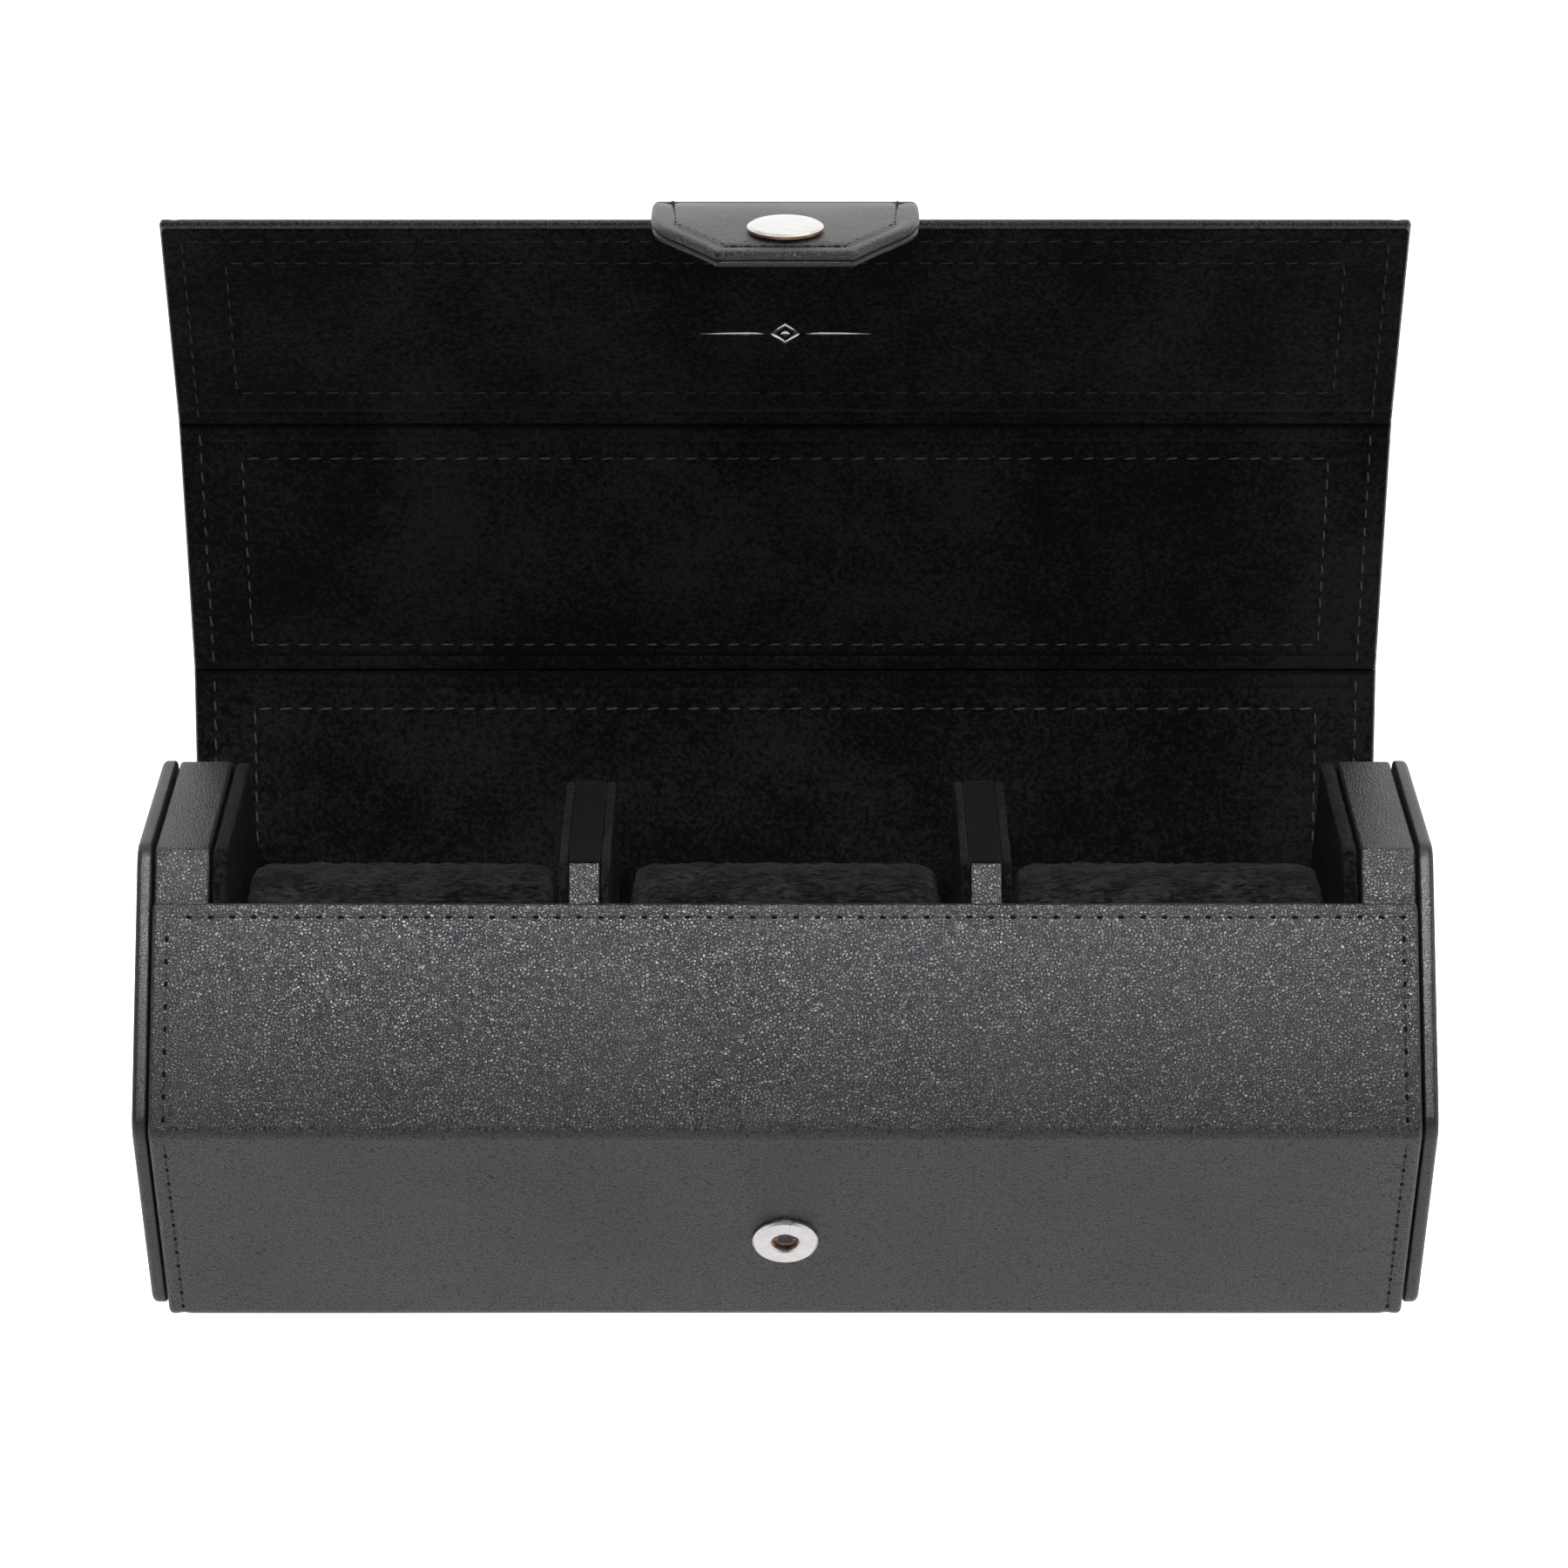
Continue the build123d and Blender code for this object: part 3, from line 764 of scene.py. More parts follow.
def leather_row(start, end, surface):
    """Stitches, and dark lenses painted as the shade of their needle holes, on the leather side, between two
    (x, s) points.
    """
    middles, direction = row(start, end)
    threads, holes = [], []
    for x, s in middles:
        place, along, out = on_strip(x, s, surface(x, s), direction)
        threads.append(capsule(place - out * 0.06 * MM, along, out, 2.5 * MM, 0.2 * MM, 0.2 * MM))
        hole = place + along * STITCH_PITCH / 2 - out * 0.02 * MM
        holes.append(needle_hole_shade(hole, along, out, 1.25 * MM, 0.8 * MM))
    return threads, holes


def suede_row(start, end, surface):
    """Slightly slanted stitches on the lining side, between two (x, s) points."""
    middles, direction = row(start, end, 3.47 * MM)
    threads = []
    for x, s in middles:
        slant = direction + np.array([-direction[1], direction[0]]) * random.uniform(0.02, 0.12)
        place, along, out = on_strip(x, s, surface(x, s), slant)
        length = random.uniform(2.1, 2.5) * MM
        threads.append(capsule(place + out * 0.05 * MM, along, out, length, 0.17 * MM, 0.16 * MM))
    return threads


def stitch_pieces(name, body, threads, holes, material):
    stitches = dress(joined(f"{name}_stitches", threads), material)
    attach(stitches, body)
    if holes:
        dress(joined(f"{name}_needle_hole_shades", holes), HOLE_SHADE)
        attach(bpy.data.objects[f"{name}_needle_hole_shades"], body)


def seams():
    side = HALF_WIDTH - STITCH_INSET
    spans = {
        "wall": [
            (STITCH_INSET, S_FRONT - CREASE_GAP),
            (S_FRONT + CREASE_GAP, S_LOW_FRONT - CREASE_GAP),
            (S_LOW_REAR + CREASE_GAP, S_REAR - FOLD_REACH),
        ],
    }
    for panel, (low, high) in PANELS.items():
        spans[panel] = [(low + FOLD_REACH, S_END - STITCH_INSET if high == S_END else high - FOLD_REACH)]
    for name, runs in spans.items():
        threads, holes = [], []
        for low, high in runs:
            for sign in (-1, 1):
                a, b = leather_row((sign * side, low), (sign * side, high), leather_top)
                threads, holes = threads + a, holes + b
        edge = STITCH_INSET if name == "wall" else S_END - STITCH_INSET
        if name in ("wall", "lid_front"):
            a, b = leather_row((-side, edge), (side, edge), leather_top)
            threads, holes = threads + a, holes + b
        stitch_pieces(f"{name}_leather", "case" if name == "wall" else name, threads, holes, BLACK_THREAD)
    border, inner = HALF_WIDTH - LINING_STITCH_INSET, HALF_WIDTH - QUILT_INSET
    for (panel, (low, high)), (quilt_low, quilt_high) in zip(PANELS.items(), QUILTS):
        last = high == S_END
        threads = []
        for sign in (-1, 1):
            stop = S_END - LINING_STITCH_INSET if last else high - 1.2 * MM
            threads += suede_row((sign * border, low + 1.2 * MM), (sign * border, stop), lining_inner)
            threads += suede_row((sign * inner, quilt_low), (sign * inner, quilt_high), lining_inner)
        for s in (quilt_low, quilt_high):
            threads += suede_row((-inner, s), (inner, s), lining_inner)
        if last:
            edge = S_END - LINING_STITCH_INSET
            threads += suede_row((-border, edge), (border, edge), lining_inner)
        # The front panel's lining stitches take the darker thread, as painted shade.
        stitch_pieces(f"{panel}_lining", panel, threads, [], GREY_THREAD_SHADED if last else GREY_THREAD)


# ---------------------------------------------------------------- ends and dividers
def rounded_outline(node, radius, steps=6):
    """Outline (y, z) of a hexagonal node, its corners rounded, and the point it is centred on."""
    points = side_points(node)
    low, high = points.min(0), points.max(0)
    middle = np.array([0.0, CENTRE_Z])
    upper, lower = high[1] - CENTRE_Z, CENTRE_Z - low[1]
    flats = [(90, upper), (30, upper), (-30, lower), (-90, lower), (-150, lower), (150, upper)]
    corners = []
    for i in range(6):
        (a, da), (b, db) = flats[i], flats[i - 1]
        a, b = math.radians(a), math.radians(b)
        det = math.cos(a) * math.sin(b) - math.sin(a) * math.cos(b)
        y = (da * math.sin(b) - db * math.sin(a)) / det
        z = (db * math.cos(a) - da * math.cos(b)) / det
        corners.append(np.array([y, z]) + middle)
    outline = []
    for i in range(6):
        before, here, after = corners[i - 1], corners[i], corners[(i + 1) % 6]
        to_before = (before - here) / np.linalg.norm(before - here)
        to_after = (after - here) / np.linalg.norm(after - here)
        trim = radius / math.tan(math.radians(60))
        a, b = here + to_before * trim, here + to_after * trim
        for k in range(steps + 1):
            t = k / steps
            outline.append(a * (1 - t) ** 2 + here * 2 * t * (1 - t) + b * t * t)
        for k in range(1, 36):
            outline.append(b + (after - to_after * trim - b) * k / 36)
    return outline, middle


def slab(name, outline, middle, x_in, x_out, rim, crown, inner_rim=None):
    """A hexagonal slab from x_in to x_out, its edges rounded and its outer face crowned."""
    inner_rim = rim if inner_rim is None else inner_rim
    sign = 1 if x_out > x_in else -1
    outline = np.array(outline)
    reach = np.linalg.norm(outline - middle, axis=1).min()
    rings = [(1.0, x_in + sign * inner_rim)]
    for k in range(1, RIM_STEPS + 1):
        sunk = 1 - math.sin(k * math.pi / (2 * RIM_STEPS))
        rings.insert(0, (1 - inner_rim * rim_step(k) / reach, x_in + sign * inner_rim * sunk))
    for k in range(RIM_STEPS + 1):
        sunk = 1 - math.sin(k * math.pi / (2 * RIM_STEPS))
        rings.append((1 - rim * rim_step(k) / reach, x_out - sign * rim * sunk - sign * crown))
    for share in (0.97, 0.93, 0.87, 0.8, 0.7, 0.55, 0.35, 0.15):
        rings.append((share * (1 - rim / reach), x_out - sign * crown * share**2.4))
    verts = [(x, *p) for share, x in rings for p in middle + (outline - middle) * share]
    count = len(outline)
    faces = ring_faces(len(rings), count) + end_caps(count, len(verts))
    return outward(mesh_object(name, verts, faces))


def fuzz(obj, amount):
    """Roughens a napped piece's surface, so that its silhouette is not a clean line."""
    data = obj.data
    places = [v.co.copy() for v in data.vertices]
    normals = [v.normal.copy() for v in data.vertices]
    for vertex, place, normal in zip(data.vertices, places, normals):
        coarse, fine = noise.noise(place * 420), noise.noise(place * 1300 + Vector((5, 3, 1)))
        vertex.co = place - normal * amount * (0.5 - 0.6 * coarse - 0.7 * fine)
    return obj


DISC_PAD = 0.9 * MM  # the end discs' leather stands this far off the CAD's face, over a thin pad


def ends():
    for side, name in ((-1, "end_left"), (1, "end_right")):
        def extent(node):
            low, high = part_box(node)
            return (low.x, high.x) if side > 0 else (high.x, low.x)

        inner, outer = extent(f"{name}_disc_cover")
        outline, middle = rounded_outline(f"{name}_disc_cover", 4.5 * MM, 10)
        padded_face = outer + side * DISC_PAD
        disc = slab(f"{name}_disc", outline, middle, inner, padded_face, 0.95 * MM, 1.0 * MM, 0.4 * MM)
        dress(disc, LEATHER)
        # The rim faces take the darker edge leather, as painted shade.
        paint(disc, EDGE_LEATHER_SHADED, lambda face: abs(face.normal.x) < 0.9)
        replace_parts(disc, f"{name}_disc_cover", f"{name}_disc_board")
        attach(disc, "case")
        inner, outer = extent(f"{name}_band")
        outline, middle = rounded_outline(f"{name}_band", 1.3 * MM)
        band = slab(f"{name}_cover", outline, middle, inner, outer, 0.55 * MM, 0.0)
        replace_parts(dress(band, LEATHER), f"{name}_band", f"{name}_block")
        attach(band, "case")
        inner, outer = extent(f"{name}_liner")
        outline, middle = rounded_outline(f"{name}_liner", 1.8 * MM)
        liner = fuzz(slab(f"{name}_suede", outline, middle, outer, inner, 0.8 * MM, 0.0), 0.22 * MM)
        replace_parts(dress(liner, SUEDE), f"{name}_liner")
        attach(liner, "case")


def faces_front(face):
    """Whether a face of a divider's edge is on its upper front flat."""
    return face.normal.y < -0.6 and face.normal.z > 0.2 and abs(face.normal.x) < 0.75


def dividers():
    for name in ("divider_left", "divider_right"):
        low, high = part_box(f"{name}_band")
        outline, middle = rounded_outline(f"{name}_band", 1.2 * MM)
        rim = slab(f"{name}_rim", outline, middle, low.x, high.x, 0.3 * MM, 0.0)
        dress(rim, NAP_AND_CREASE_SHADE)
        paint(rim, LEATHER, faces_front)
        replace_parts(rim, f"{name}_band", f"{name}_block")
        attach(rim, "case")
        low_side, high_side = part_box(f"{name}_suede")
        panels = []
        for tag, x0, x1 in (("a", low.x - 0.1 * MM, low_side.x), ("b", high.x + 0.1 * MM, high_side.x)):
            outline, middle = rounded_outline(f"{name}_suede", 1.8 * MM)
            panel = fuzz(slab(f"{name}_suede_{tag}", outline, middle, x0, x1, 0.6 * MM, 0.0), 0.22 * MM)
            dress(panel, SUEDE)
            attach(panel, "case")
            panels.append(panel)
        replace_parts(panels[0], f"{name}_suede")


# ---------------------------------------------------------------- cushions
def oval_sleeve(name, half_x, half_y, half_z):
    """Oval cushion about the origin, its ends drawn in a little at their rims."""
    verts = []
    around = 48
    stations = [(-1.0, 0.6), (-1.0, 0.93), (-0.985, 0.975), (-0.95, 0.995), (-0.6, 1.0), (-0.2, 1.0)]
    stations += [(-x, share) for x, share in reversed(stations)]
    for x, share in stations:
        for k in range(around):
            angle = 2 * math.pi * k / around
            verts.append((x * half_x, share * half_y * math.cos(angle), share * half_z * math.sin(angle)))
    faces = ring_faces(len(stations), around) + end_caps(around, len(verts))
    return outward(mesh_object(name, verts, faces))


def apply_modifiers(obj):
    graph = bpy.context.evaluated_depsgraph_get()
    made = bpy.data.meshes.new_from_object(obj.evaluated_get(graph))
    obj.modifiers.clear()
    obj.data = made


def puff(obj, voxel, pressure, cap):
    """Remeshes a soft piece, lets cloth pressure round it, and holds every point within cap of its place."""
    remesh = obj.modifiers.new("remesh", "REMESH")
    remesh.mode, remesh.voxel_size = "VOXEL", voxel
    apply_modifiers(obj)
    start = np.array([v.co for v in obj.data.vertices])
    cloth = obj.modifiers.new("cloth", "CLOTH")
    cloth.settings.use_pressure = True
    cloth.settings.uniform_pressure_force = pressure
    cloth.settings.effector_weights.gravity = 0
    cloth.settings.tension_stiffness = 25
    cloth.settings.compression_stiffness = 25
    for step in range(1, 21):
        bpy.context.scene.frame_set(step)
    apply_modifiers(obj)
    bpy.context.scene.frame_set(1)
    moved = np.array([v.co for v in obj.data.vertices]) - start
    size = np.linalg.norm(moved, axis=1)[:, None]
    moved *= np.minimum(1.0, cap / np.maximum(size, 1e-9))
    obj.data.vertices.foreach_set("co", (start + moved).ravel())
    smooth = obj.modifiers.new("subdivision", "SUBSURF")
    smooth.levels = smooth.render_levels = 1
    apply_modifiers(obj)
    obj.data.shade_smooth()


def cushions():
    low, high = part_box("cushion_middle_sleeve")
    half = (high - low) / 2
    swell = 0.7 * MM
    template = oval_sleeve("cushion_shape", half.x + swell, half.y - swell, half.z - swell)
    puff(template, 1.9 * MM, 4.0, 1.4 * MM)
    fuzz(template, 0.5 * MM)
    for name in ("cushion_left", "cushion_middle", "cushion_right"):
        low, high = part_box(f"{name}_sleeve")
        middle = (low + high) / 2
        data = template.data.copy()
        data.transform(Matrix.Translation(middle))
        cushion = new_object(f"{name}_suede", data)
        dress(cushion, FUR)
        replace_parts(cushion, f"{name}_sleeve", f"{name}_foam", f"{name}_ends")
        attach(cushion, name)
    bpy.data.objects.remove(template)


# ---------------------------------------------------------------- tab and snap
TAB_BULGE = 1.5 * MM
TAB_LENGTH = 40.0 * MM
TAB_T = 2.6 * MM
TAB_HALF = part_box("tab_leather")[1].x
TAB_TIP_HALF = 10.8 * MM
TAB_SHOULDER = 26.0 * MM
TAB_ANCHOR = 26.0 * MM  # length of the part sewn to the back of the lid
TAB_ANCHOR_T = 1.8 * MM
TAB_ROOT = 3.0 * MM  # the fold's rolled leather ends here, and the tab's layers start


def tab_frame():
    """The tab's fold, its chord's direction and its outward normal, in y and z."""
    fold = fold_axis("tab_hinge")
    tips = []
    for node in ("tab_leather", "tab_backing"):
        points = side_points(node)
        reach = np.linalg.norm(points - fold, axis=1)
        tips.append(points[reach > reach.max() - 0.4 * MM].mean(0))
    chord = (tips[0] + tips[1]) / 2 - fold
    chord /= np.linalg.norm(chord)
    return fold, chord, np.array([chord[1], -chord[0]])


TAB_FOLD, TAB_ALONG, TAB_OUT = tab_frame()
ARCH_R = ((TAB_LENGTH / 2) ** 2 + TAB_BULGE**2) / (2 * TAB_BULGE)


def tab_place(x, v, w):
    """Point of the arched tab: x across, v along its chord, w out of its mid-thickness."""
    height = TAB_BULGE - ARCH_R + math.sqrt(ARCH_R**2 - (v - TAB_LENGTH / 2) ** 2)
    tilt = (v - TAB_LENGTH / 2) / ARCH_R
    return Vector((x, *(TAB_FOLD + TAB_ALONG * (v + w * tilt) + TAB_OUT * (height + w))))


def tab_half_width(v, inset):
    """Half-width of the tab at v, drawn in by inset."""
    run = TAB_LENGTH - TAB_SHOULDER
    slant = math.hypot(run, TAB_HALF - TAB_TIP_HALF) / run
    slope = (TAB_HALF - TAB_TIP_HALF) / run
    chamfer = TAB_HALF - (v - TAB_SHOULDER) * slope - inset * slant
    straight = TAB_HALF - inset
    soft = 1.2 * MM
    return -soft * math.log(math.exp(-straight / soft) + math.exp(-chamfer / soft))


def tab():
    half = TAB_T / 2

    def flat(level):
        return lambda x, v: level

    def groove(v_from_edge):
        return 0.25 * MM * bell(v_from_edge - 3.0 * MM, 0.7 * MM)

    def thinning(v):
        return 0.5 * MM * max(0.0, 1 - (v - TAB_ROOT) / (9 * MM))

    def top_level(x, v):
        to_side = (1 - abs(x)) * tab_half_width(v, 0)
        to_edge = min(to_side, TAB_LENGTH - v)
        return half - groove(to_edge) - thinning(v)

    upper = tab_layer("tab_upper", TAB_ROOT, TAB_LENGTH, 0.0, top_level, flat(-0.35 * MM), 1.0 * MM)
    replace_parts(dress(upper, LEATHER), "tab_leather", "tab_stiffener")
    setback = 0.2 * MM
    lower = tab_layer(
        "tab_lower", TAB_ROOT, TAB_LENGTH - setback, setback, flat(-0.25 * MM), flat(-half), 0.45 * MM
    )
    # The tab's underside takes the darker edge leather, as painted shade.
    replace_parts(dress(lower, EDGE_LEATHER_SHADED), "tab_backing")
    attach(upper, "tab")
    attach(lower, "tab")


def tab_layer(name, v0, v1, inset, top, bottom, rim):
    """A layer of the tab built from rings drawn in from its outline, so that its rim is even."""
    depths = [rim * rim_step(k) for k in range(RIM_STEPS + 1)]
    depths += [rim + 0.5 * MM * k for k in range(1, 9)]
    verts, faces = [], []
    loops = [(depth, tab_loop(v0, v1, inset + depth, depth)) for depth in depths]
    count = len(loops[0][1])
    for level in (top, bottom):
        for depth, loop in loops:
            share = rim_share(depth, rim)
            for x, v in loop:
                half = tab_half_width(v, 0)
                unit = max(-1.0, min(1.0, x / half))
                middle = (top(unit, v) + bottom(unit, v)) / 2
                verts.append(tab_place(x, v, middle + (level(unit, v) - middle) * share))
    layers = len(loops)
    for side in (0, layers):
        faces += [tuple(side * count + i for i in quad) for quad in ring_faces(layers, count)]
        last = (side + layers - 1) * count
        half_count = count // 2
        for k in range(half_count - 1):
            faces.append((last + k, last + k + 1, last + count - 2 - k, last + count - 1 - k))
    return outward(mesh_object(name, verts, faces), merged=True)


def tab_loop(v0, v1, inset, depth):
    """Outline points (x, v), half from the root round the tip and half back, drawn in by inset."""
    tip = v1 - depth
    side = []
    steps, across = 44, 12
    for k in range(steps + 1):
        v = v0 + (tip - v0) * (1 - (1 - k / steps) ** 1.6)
        side.append((tab_half_width(v, inset), v))
    right = side + [(side[-1][0] * (1 - k / across), tip) for k in range(1, across)]
    return right + [(0.0, tip)] + [(-x, v) for x, v in reversed(right)]


def bevelled(node, width):
    """Gives a CAD node's hard edges a small bevel, without changing its mesh."""
    obj = frame["nodes"][node]
    bevel = obj.modifiers.new("bevel", "BEVEL")
    bevel.width, bevel.segments, bevel.limit_method = width, 3, "ANGLE"
    bevel.angle_limit = math.radians(35)
    return obj


def tab_roots():
    """The part of the tab sewn to the back of the lid."""
    _, anchor_top = long_side("tab_anchor")
    top_s = S_FLAP + (anchor_top - front_fold) @ front_up
    bottom_s = top_s - TAB_ANCHOR

    def top(x, s):
        edge = min(TAB_HALF - abs(x), s - bottom_s)
        return WALL_T / 2 + TAB_ANCHOR_T - 0.22 * MM * bell(edge - 2.6 * MM, 0.7 * MM)

    def bottom(x, s):
        return WALL_T / 2 if s < S_END - 0.8 * MM else WALL_T / 2 + 0.1 * MM

    xs = spread(TAB_HALF, 1.2 * MM, 0.8 * MM)
    ss = strip.stations(bottom_s, top_s, 1.2 * MM, 0.8 * MM, (True, False))
    anchor = sheet("tab_root", long_place, xs, ss, top, bottom, 0.8 * MM, (True, False), 2.0 * MM)
    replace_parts(dress(anchor, LEATHER), "tab_anchor")
    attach(anchor, "lid_front")


def long_place(x, s, w):
    """Like strip.place, but straight on past the lid's free edge."""
    if s <= S_END:
        return strip.place(x, s, w)
    end = strip.place(x, S_END, w)
    heading, _ = strip.frame(S_END)
    return end + heading * (s - S_END)


def tab_fold():
    """The fold between the lid and the tab: rolled leather round the fold's axis."""
    fold, along, out = (Vector((0, *p)) for p in (TAB_FOLD, TAB_ALONG, TAB_OUT))
    up, _ = strip.frame(S_END)
    first, last = fold - up * 1.25 * MM, tab_place(0, TAB_ROOT, 0)
    steps = 14
    tilt = (TAB_ROOT - TAB_LENGTH / 2) / ARCH_R
    end_dir = (along - out * tilt).normalized()
    c1, c2 = first + up * 1.6 * MM, last - end_dir * 1.6 * MM
    xs = spread(TAB_HALF, 2.0 * MM, 0.9 * MM)

    def centre(t):
        p = first * (1 - t) ** 3 + c1 * 3 * t * (1 - t) ** 2 + c2 * 3 * t * t * (1 - t) + last * t**3
        d = (c1 - first) * 3 * (1 - t) ** 2 + (c2 - c1) * 6 * t * (1 - t) + (last - c2) * 3 * t * t
        return p, d.normalized()

    def place(x, t, w):
        p, d = centre(t)
        n = Vector((0, d.z, -d.y))
        return Vector((x, 0, 0)) + p + n * w

    def top(x, t):
        return 0.85 * MM

    def bottom(x, t):
        return -(0.9 + (TAB_T / MM / 2 - 0.9) * t) * MM

    ts = [k / steps for k in range(steps + 1)]
    fold_piece = sheet("tab_fold_leather", place, xs, ts, top, bottom, 0.9 * MM, (False, False))
    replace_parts(dress(fold_piece, LEATHER), "fold_tab")
    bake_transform(fold_piece)
    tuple(first)
    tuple(last)


def tab_seams():
    """Stitches round the tab, in from its edge."""
    inset, level = 3.2 * MM, TAB_T / 2 - 0.22 * MM
    out = Vector((0, *TAB_OUT))
    threads, holes = [], []
    corners = [
        (tab_half_width(5 * MM, inset), 4.0 * MM),
        (tab_half_width(TAB_SHOULDER - 1 * MM, inset), TAB_SHOULDER - 0.9 * MM),
        (tab_half_width(TAB_LENGTH - inset, inset), TAB_LENGTH - inset),
    ]
    outline = corners + [(-x, v) for x, v in reversed(corners)]
    for a, b in zip(outline, outline[1:]):
        middles, direction = row(a, b, 2.3 * MM)
        for x, v in middles:
            place = tab_place(x, v, level)
            ahead = tab_place(x + direction[0] * MM, v + direction[1] * MM, level)
            along = (ahead - place).normalized()
            threads.append(capsule(place + out * 0.06 * MM, along, out, 1.75 * MM, 0.2 * MM, 0.2 * MM))
            # Each needle hole is a dark lens of painted shade.
            holes.append(needle_hole_shade(place + along * 1.15 * MM, along, out, 0.8 * MM, 0.55 * MM))
    stitch_pieces("tab", "tab", threads, holes, BLACK_THREAD)


def centre_and_axis(node, facing):
    """Middle of a flat round node, and the axis that it is turned about."""
    points = np.array([v.co for v in frame["nodes"][node].data.vertices])
    middle = points.mean(0)
    _, _, axes = np.linalg.svd(points - middle)
    axis = Vector(axes[2])
    return Vector(middle), axis if axis.dot(facing) > 0 else -axis


def snap():
    for node in ("snap_socket", "snap_cap", "snap_stud", "snap_socket_rivet"):
        dress(bevelled(node, 0.12 * MM), SILVER if node in ("snap_socket", "snap_cap") else COPPER)
    _, cap_axis = centre_and_axis("snap_cap", Vector((0, 0, 1)))
    paint(frame["nodes"]["snap_cap"], COPPER, lambda face: abs(face.normal.dot(cap_axis)) < 0.45)
    middle, axis = centre_and_axis("snap_socket", Vector((0, -1, -0.5)))
    for sign in (-1, 1):
        wire = []
        across = axis.cross(Vector((1, 0, 0))).normalized()
        for k in range(9):
            t = (k - 4) / 4
            place = middle + across * t * 1.5 * MM + Vector((1, 0, 0)) * sign * (2.10 - 0.42 * t * t) * MM
            wire.append(place - axis * 0.35 * MM)
        parts = [
            capsule((a + b) / 2, (b - a).normalized(), axis, (b - a).length * 1.25, 0.11 * MM, 0.0)
            for a, b in zip(wire, wire[1:])
        ]
        spring = dress(joined(f"snap_spring_{'a' if sign < 0 else 'b'}", parts), COPPER)
        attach(spring, "case")


# ---------------------------------------------------------------- the rest of the CAD
def carried_over():
    """Materials for the CAD nodes that stay as they are."""
    for name, obj in frame["nodes"].items():
        if name.startswith("snap") or obj.hide_render:
            continue
        # Blocks take the near-black fibreboard, as painted shade in the grooves.
        dress(obj, BLOCK_GROOVE_SHADE if "block" in name else BOARD)


# ---------------------------------------------------------------- ornament
def ornament():
    """A plain foil lozenge between two tapered lines, on the lining of the front lid panel."""
    parts = []
    s_mid = S_FLAP + 0.47 * (S_END - S_FLAP)

    def plate(points):
        low, high = [], []
        for x, s in points:
            level = lining_inner(x, s)
            low.append(strip.place(x, s, level + 0.10 * MM))
            high.append(strip.place(x, s, level - 0.06 * MM))
        count = len(points)
        faces = [tuple(range(count)), tuple(range(2 * count - 1, count - 1, -1))]
        for k in range(count):
            faces.append((k, (k + 1) % count, count + (k + 1) % count, count + k))
        parts.append((low + high, faces))

    for sign in (-1, 1):
        plate([(sign * x * MM, s_mid + v * MM) for x, v in ((3.4, 0), (6.0, 0.35), (14.0, 0), (6.0, -0.35))])
    for k in range(4):
        a, b = math.radians(90 * k), math.radians(90 * k + 90)
        ring = [(2.4, a), (2.4, b), (1.7, b), (1.7, a)]
        plate([(r * math.cos(t) * MM, s_mid + r * math.sin(t) * MM) for r, t in ring])
    quarters = (0, math.pi / 2, math.pi, 1.5 * math.pi)
    plate([(0.8 * math.cos(t) * MM, s_mid + 0.8 * math.sin(t) * MM) for t in quarters])
    foil = dress(joined("lid_foil_ornament", parts), FOIL)
    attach(foil, "lid_front")


# ---------------------------------------------------------------- studio
KEY_POWER = 0.43
ROOM_LIT = 0.05
BACKDROP_LIT = 1.45
FLOOR_SEEN = 1.0
FLOOR_LIT = 0.92


def area_light(name, place, target, size, power, spread=180):
    data = bpy.data.lights.new(name, "AREA")
    data.spread = math.radians(spread)
    data.shape, data.size, data.size_y, data.energy = "RECTANGLE", size[0], size[1], power
    lamp = new_object(name, data)
    lamp.location = place
    lamp.rotation_euler = (Vector(target) - Vector(place)).to_track_quat("-Z", "Y").to_euler()
    lamp.visible_camera = False


def seen_or_lit(tree, seen, lit):
    """A strength that is one thing to the camera and another to the object's surfaces."""
    ray = tree.nodes.new("ShaderNodeLightPath")
    mix = tree.nodes.new("ShaderNodeMix")
    tree.links.new(ray.outputs["Is Camera Ray"], mix.inputs[0])
    fill(tree, mix.inputs[2], lit)
    mix.inputs[3].default_value = seen
    return mix.outputs[0]


def backdrop_strength(tree):
    """The world's strength to the object's surfaces: a bright backdrop behind, a dim room in front."""
    where = tree.nodes.new("ShaderNodeTexCoord")
    parts = tree.nodes.new("ShaderNodeSeparateXYZ")
    tree.links.new(where.outputs["Generated"], parts.inputs[0])
    span = tree.nodes.new("ShaderNodeMapRange")
    span.interpolation_type = "SMOOTHSTEP"
    tree.links.new(parts.outputs["Y"], span.inputs["Value"])
    span.inputs["From Min"].default_value, span.inputs["From Max"].default_value = 0.15, 0.75
    span.inputs["To Min"].default_value, span.inputs["To Max"].default_value = ROOM_LIT, BACKDROP_LIT
    return span.outputs["Result"]


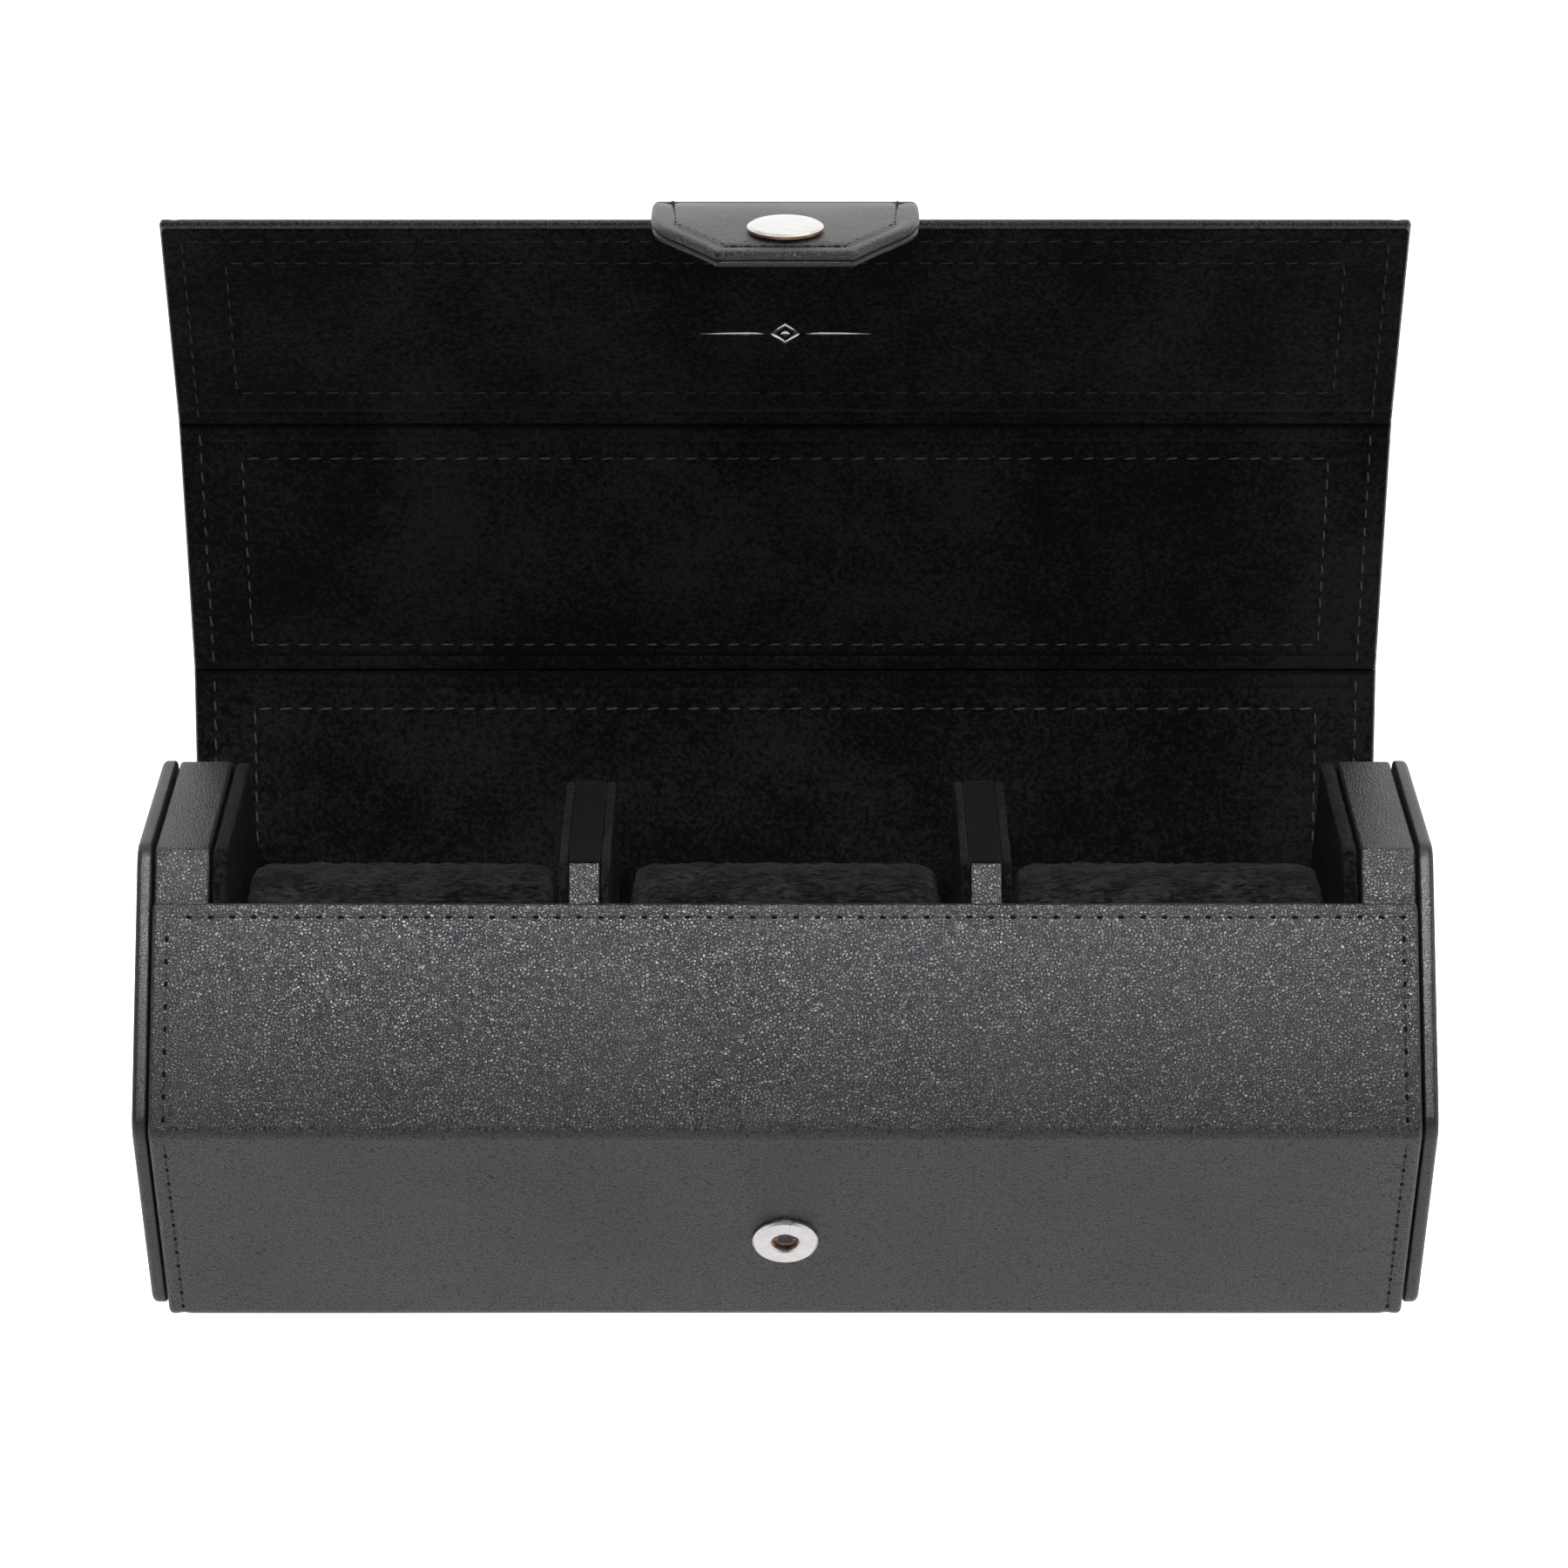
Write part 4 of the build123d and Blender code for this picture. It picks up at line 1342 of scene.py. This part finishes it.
def studio():
    world = bpy.data.worlds.new("studio")
    world.use_nodes = True
    tree = world.node_tree
    background = tree.nodes["Background"]
    background.inputs["Color"].default_value = (1, 1, 1, 1)
    tree.links.new(seen_or_lit(tree, 1.0, backdrop_strength(tree)), background.inputs["Strength"])
    bpy.context.scene.world = world
    floor = mesh_object("floor", [(-6, -6, 0), (6, -6, 0), (6, 6, 0), (-6, 6, 0)], [(0, 1, 2, 3)])
    n = Nodes("floor_paper")
    tone = n.mix(n.noise(3.0), (0.58, 0.58, 0.58), (0.62, 0.62, 0.62))
    n.shader.inputs["Emission Color"].default_value = (0.99, 0.96, 1.0, 1)
    n.link(seen_or_lit(n.tree, FLOOR_SEEN, FLOOR_LIT), n.shader.inputs["Emission Strength"])
    dress(floor, n.finish(Base_Color=tone, Roughness=0.7))
    floor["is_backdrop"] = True
    target = (0, 0, 0.06)
    area_light("key", (0.06, -0.27, 0.36), (0.06, -0.016, 0.088), (0.75, 0.06), KEY_POWER, 26)
    area_light("top", (0.1, 0.3, 1.2), target, (1.2, 0.7), 4.0)
    area_light("left", (-1.2, -0.1, 0.35), target, (0.5, 0.7), 0.9)
    area_light("right", (1.2, -0.2, 0.45), target, (0.5, 0.7), 4.0)
    bpy.context.scene.view_settings.view_transform = "Standard"


def camera():
    """The photo's camera: lens in mm, pitch down, distance and aim height in metres."""
    lens, pitch, distance, aim = 143.1, math.radians(18.3), 1.0161, 0.0837
    data = bpy.data.cameras.new("camera")
    data.sensor_width, data.lens = 36.0, lens
    data.clip_start, data.clip_end = 0.05, 30
    cam = new_object("camera", data)
    cam.location = (-0.0002, -distance * math.cos(pitch), aim + distance * math.sin(pitch))
    cam.rotation_euler = (math.pi / 2 - pitch, 0, 0)
    bpy.context.scene.camera = cam


walls_and_lid()
seams()
ends()
dividers()
cushions()
tab()
tab_roots()
tab_fold()
tab_seams()
snap()
carried_over()
ornament()
studio()
camera()

boxes = {"cad": cad_box, "visual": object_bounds()}
{k: [list(corner) for corner in box] for k, box in boxes.items()}
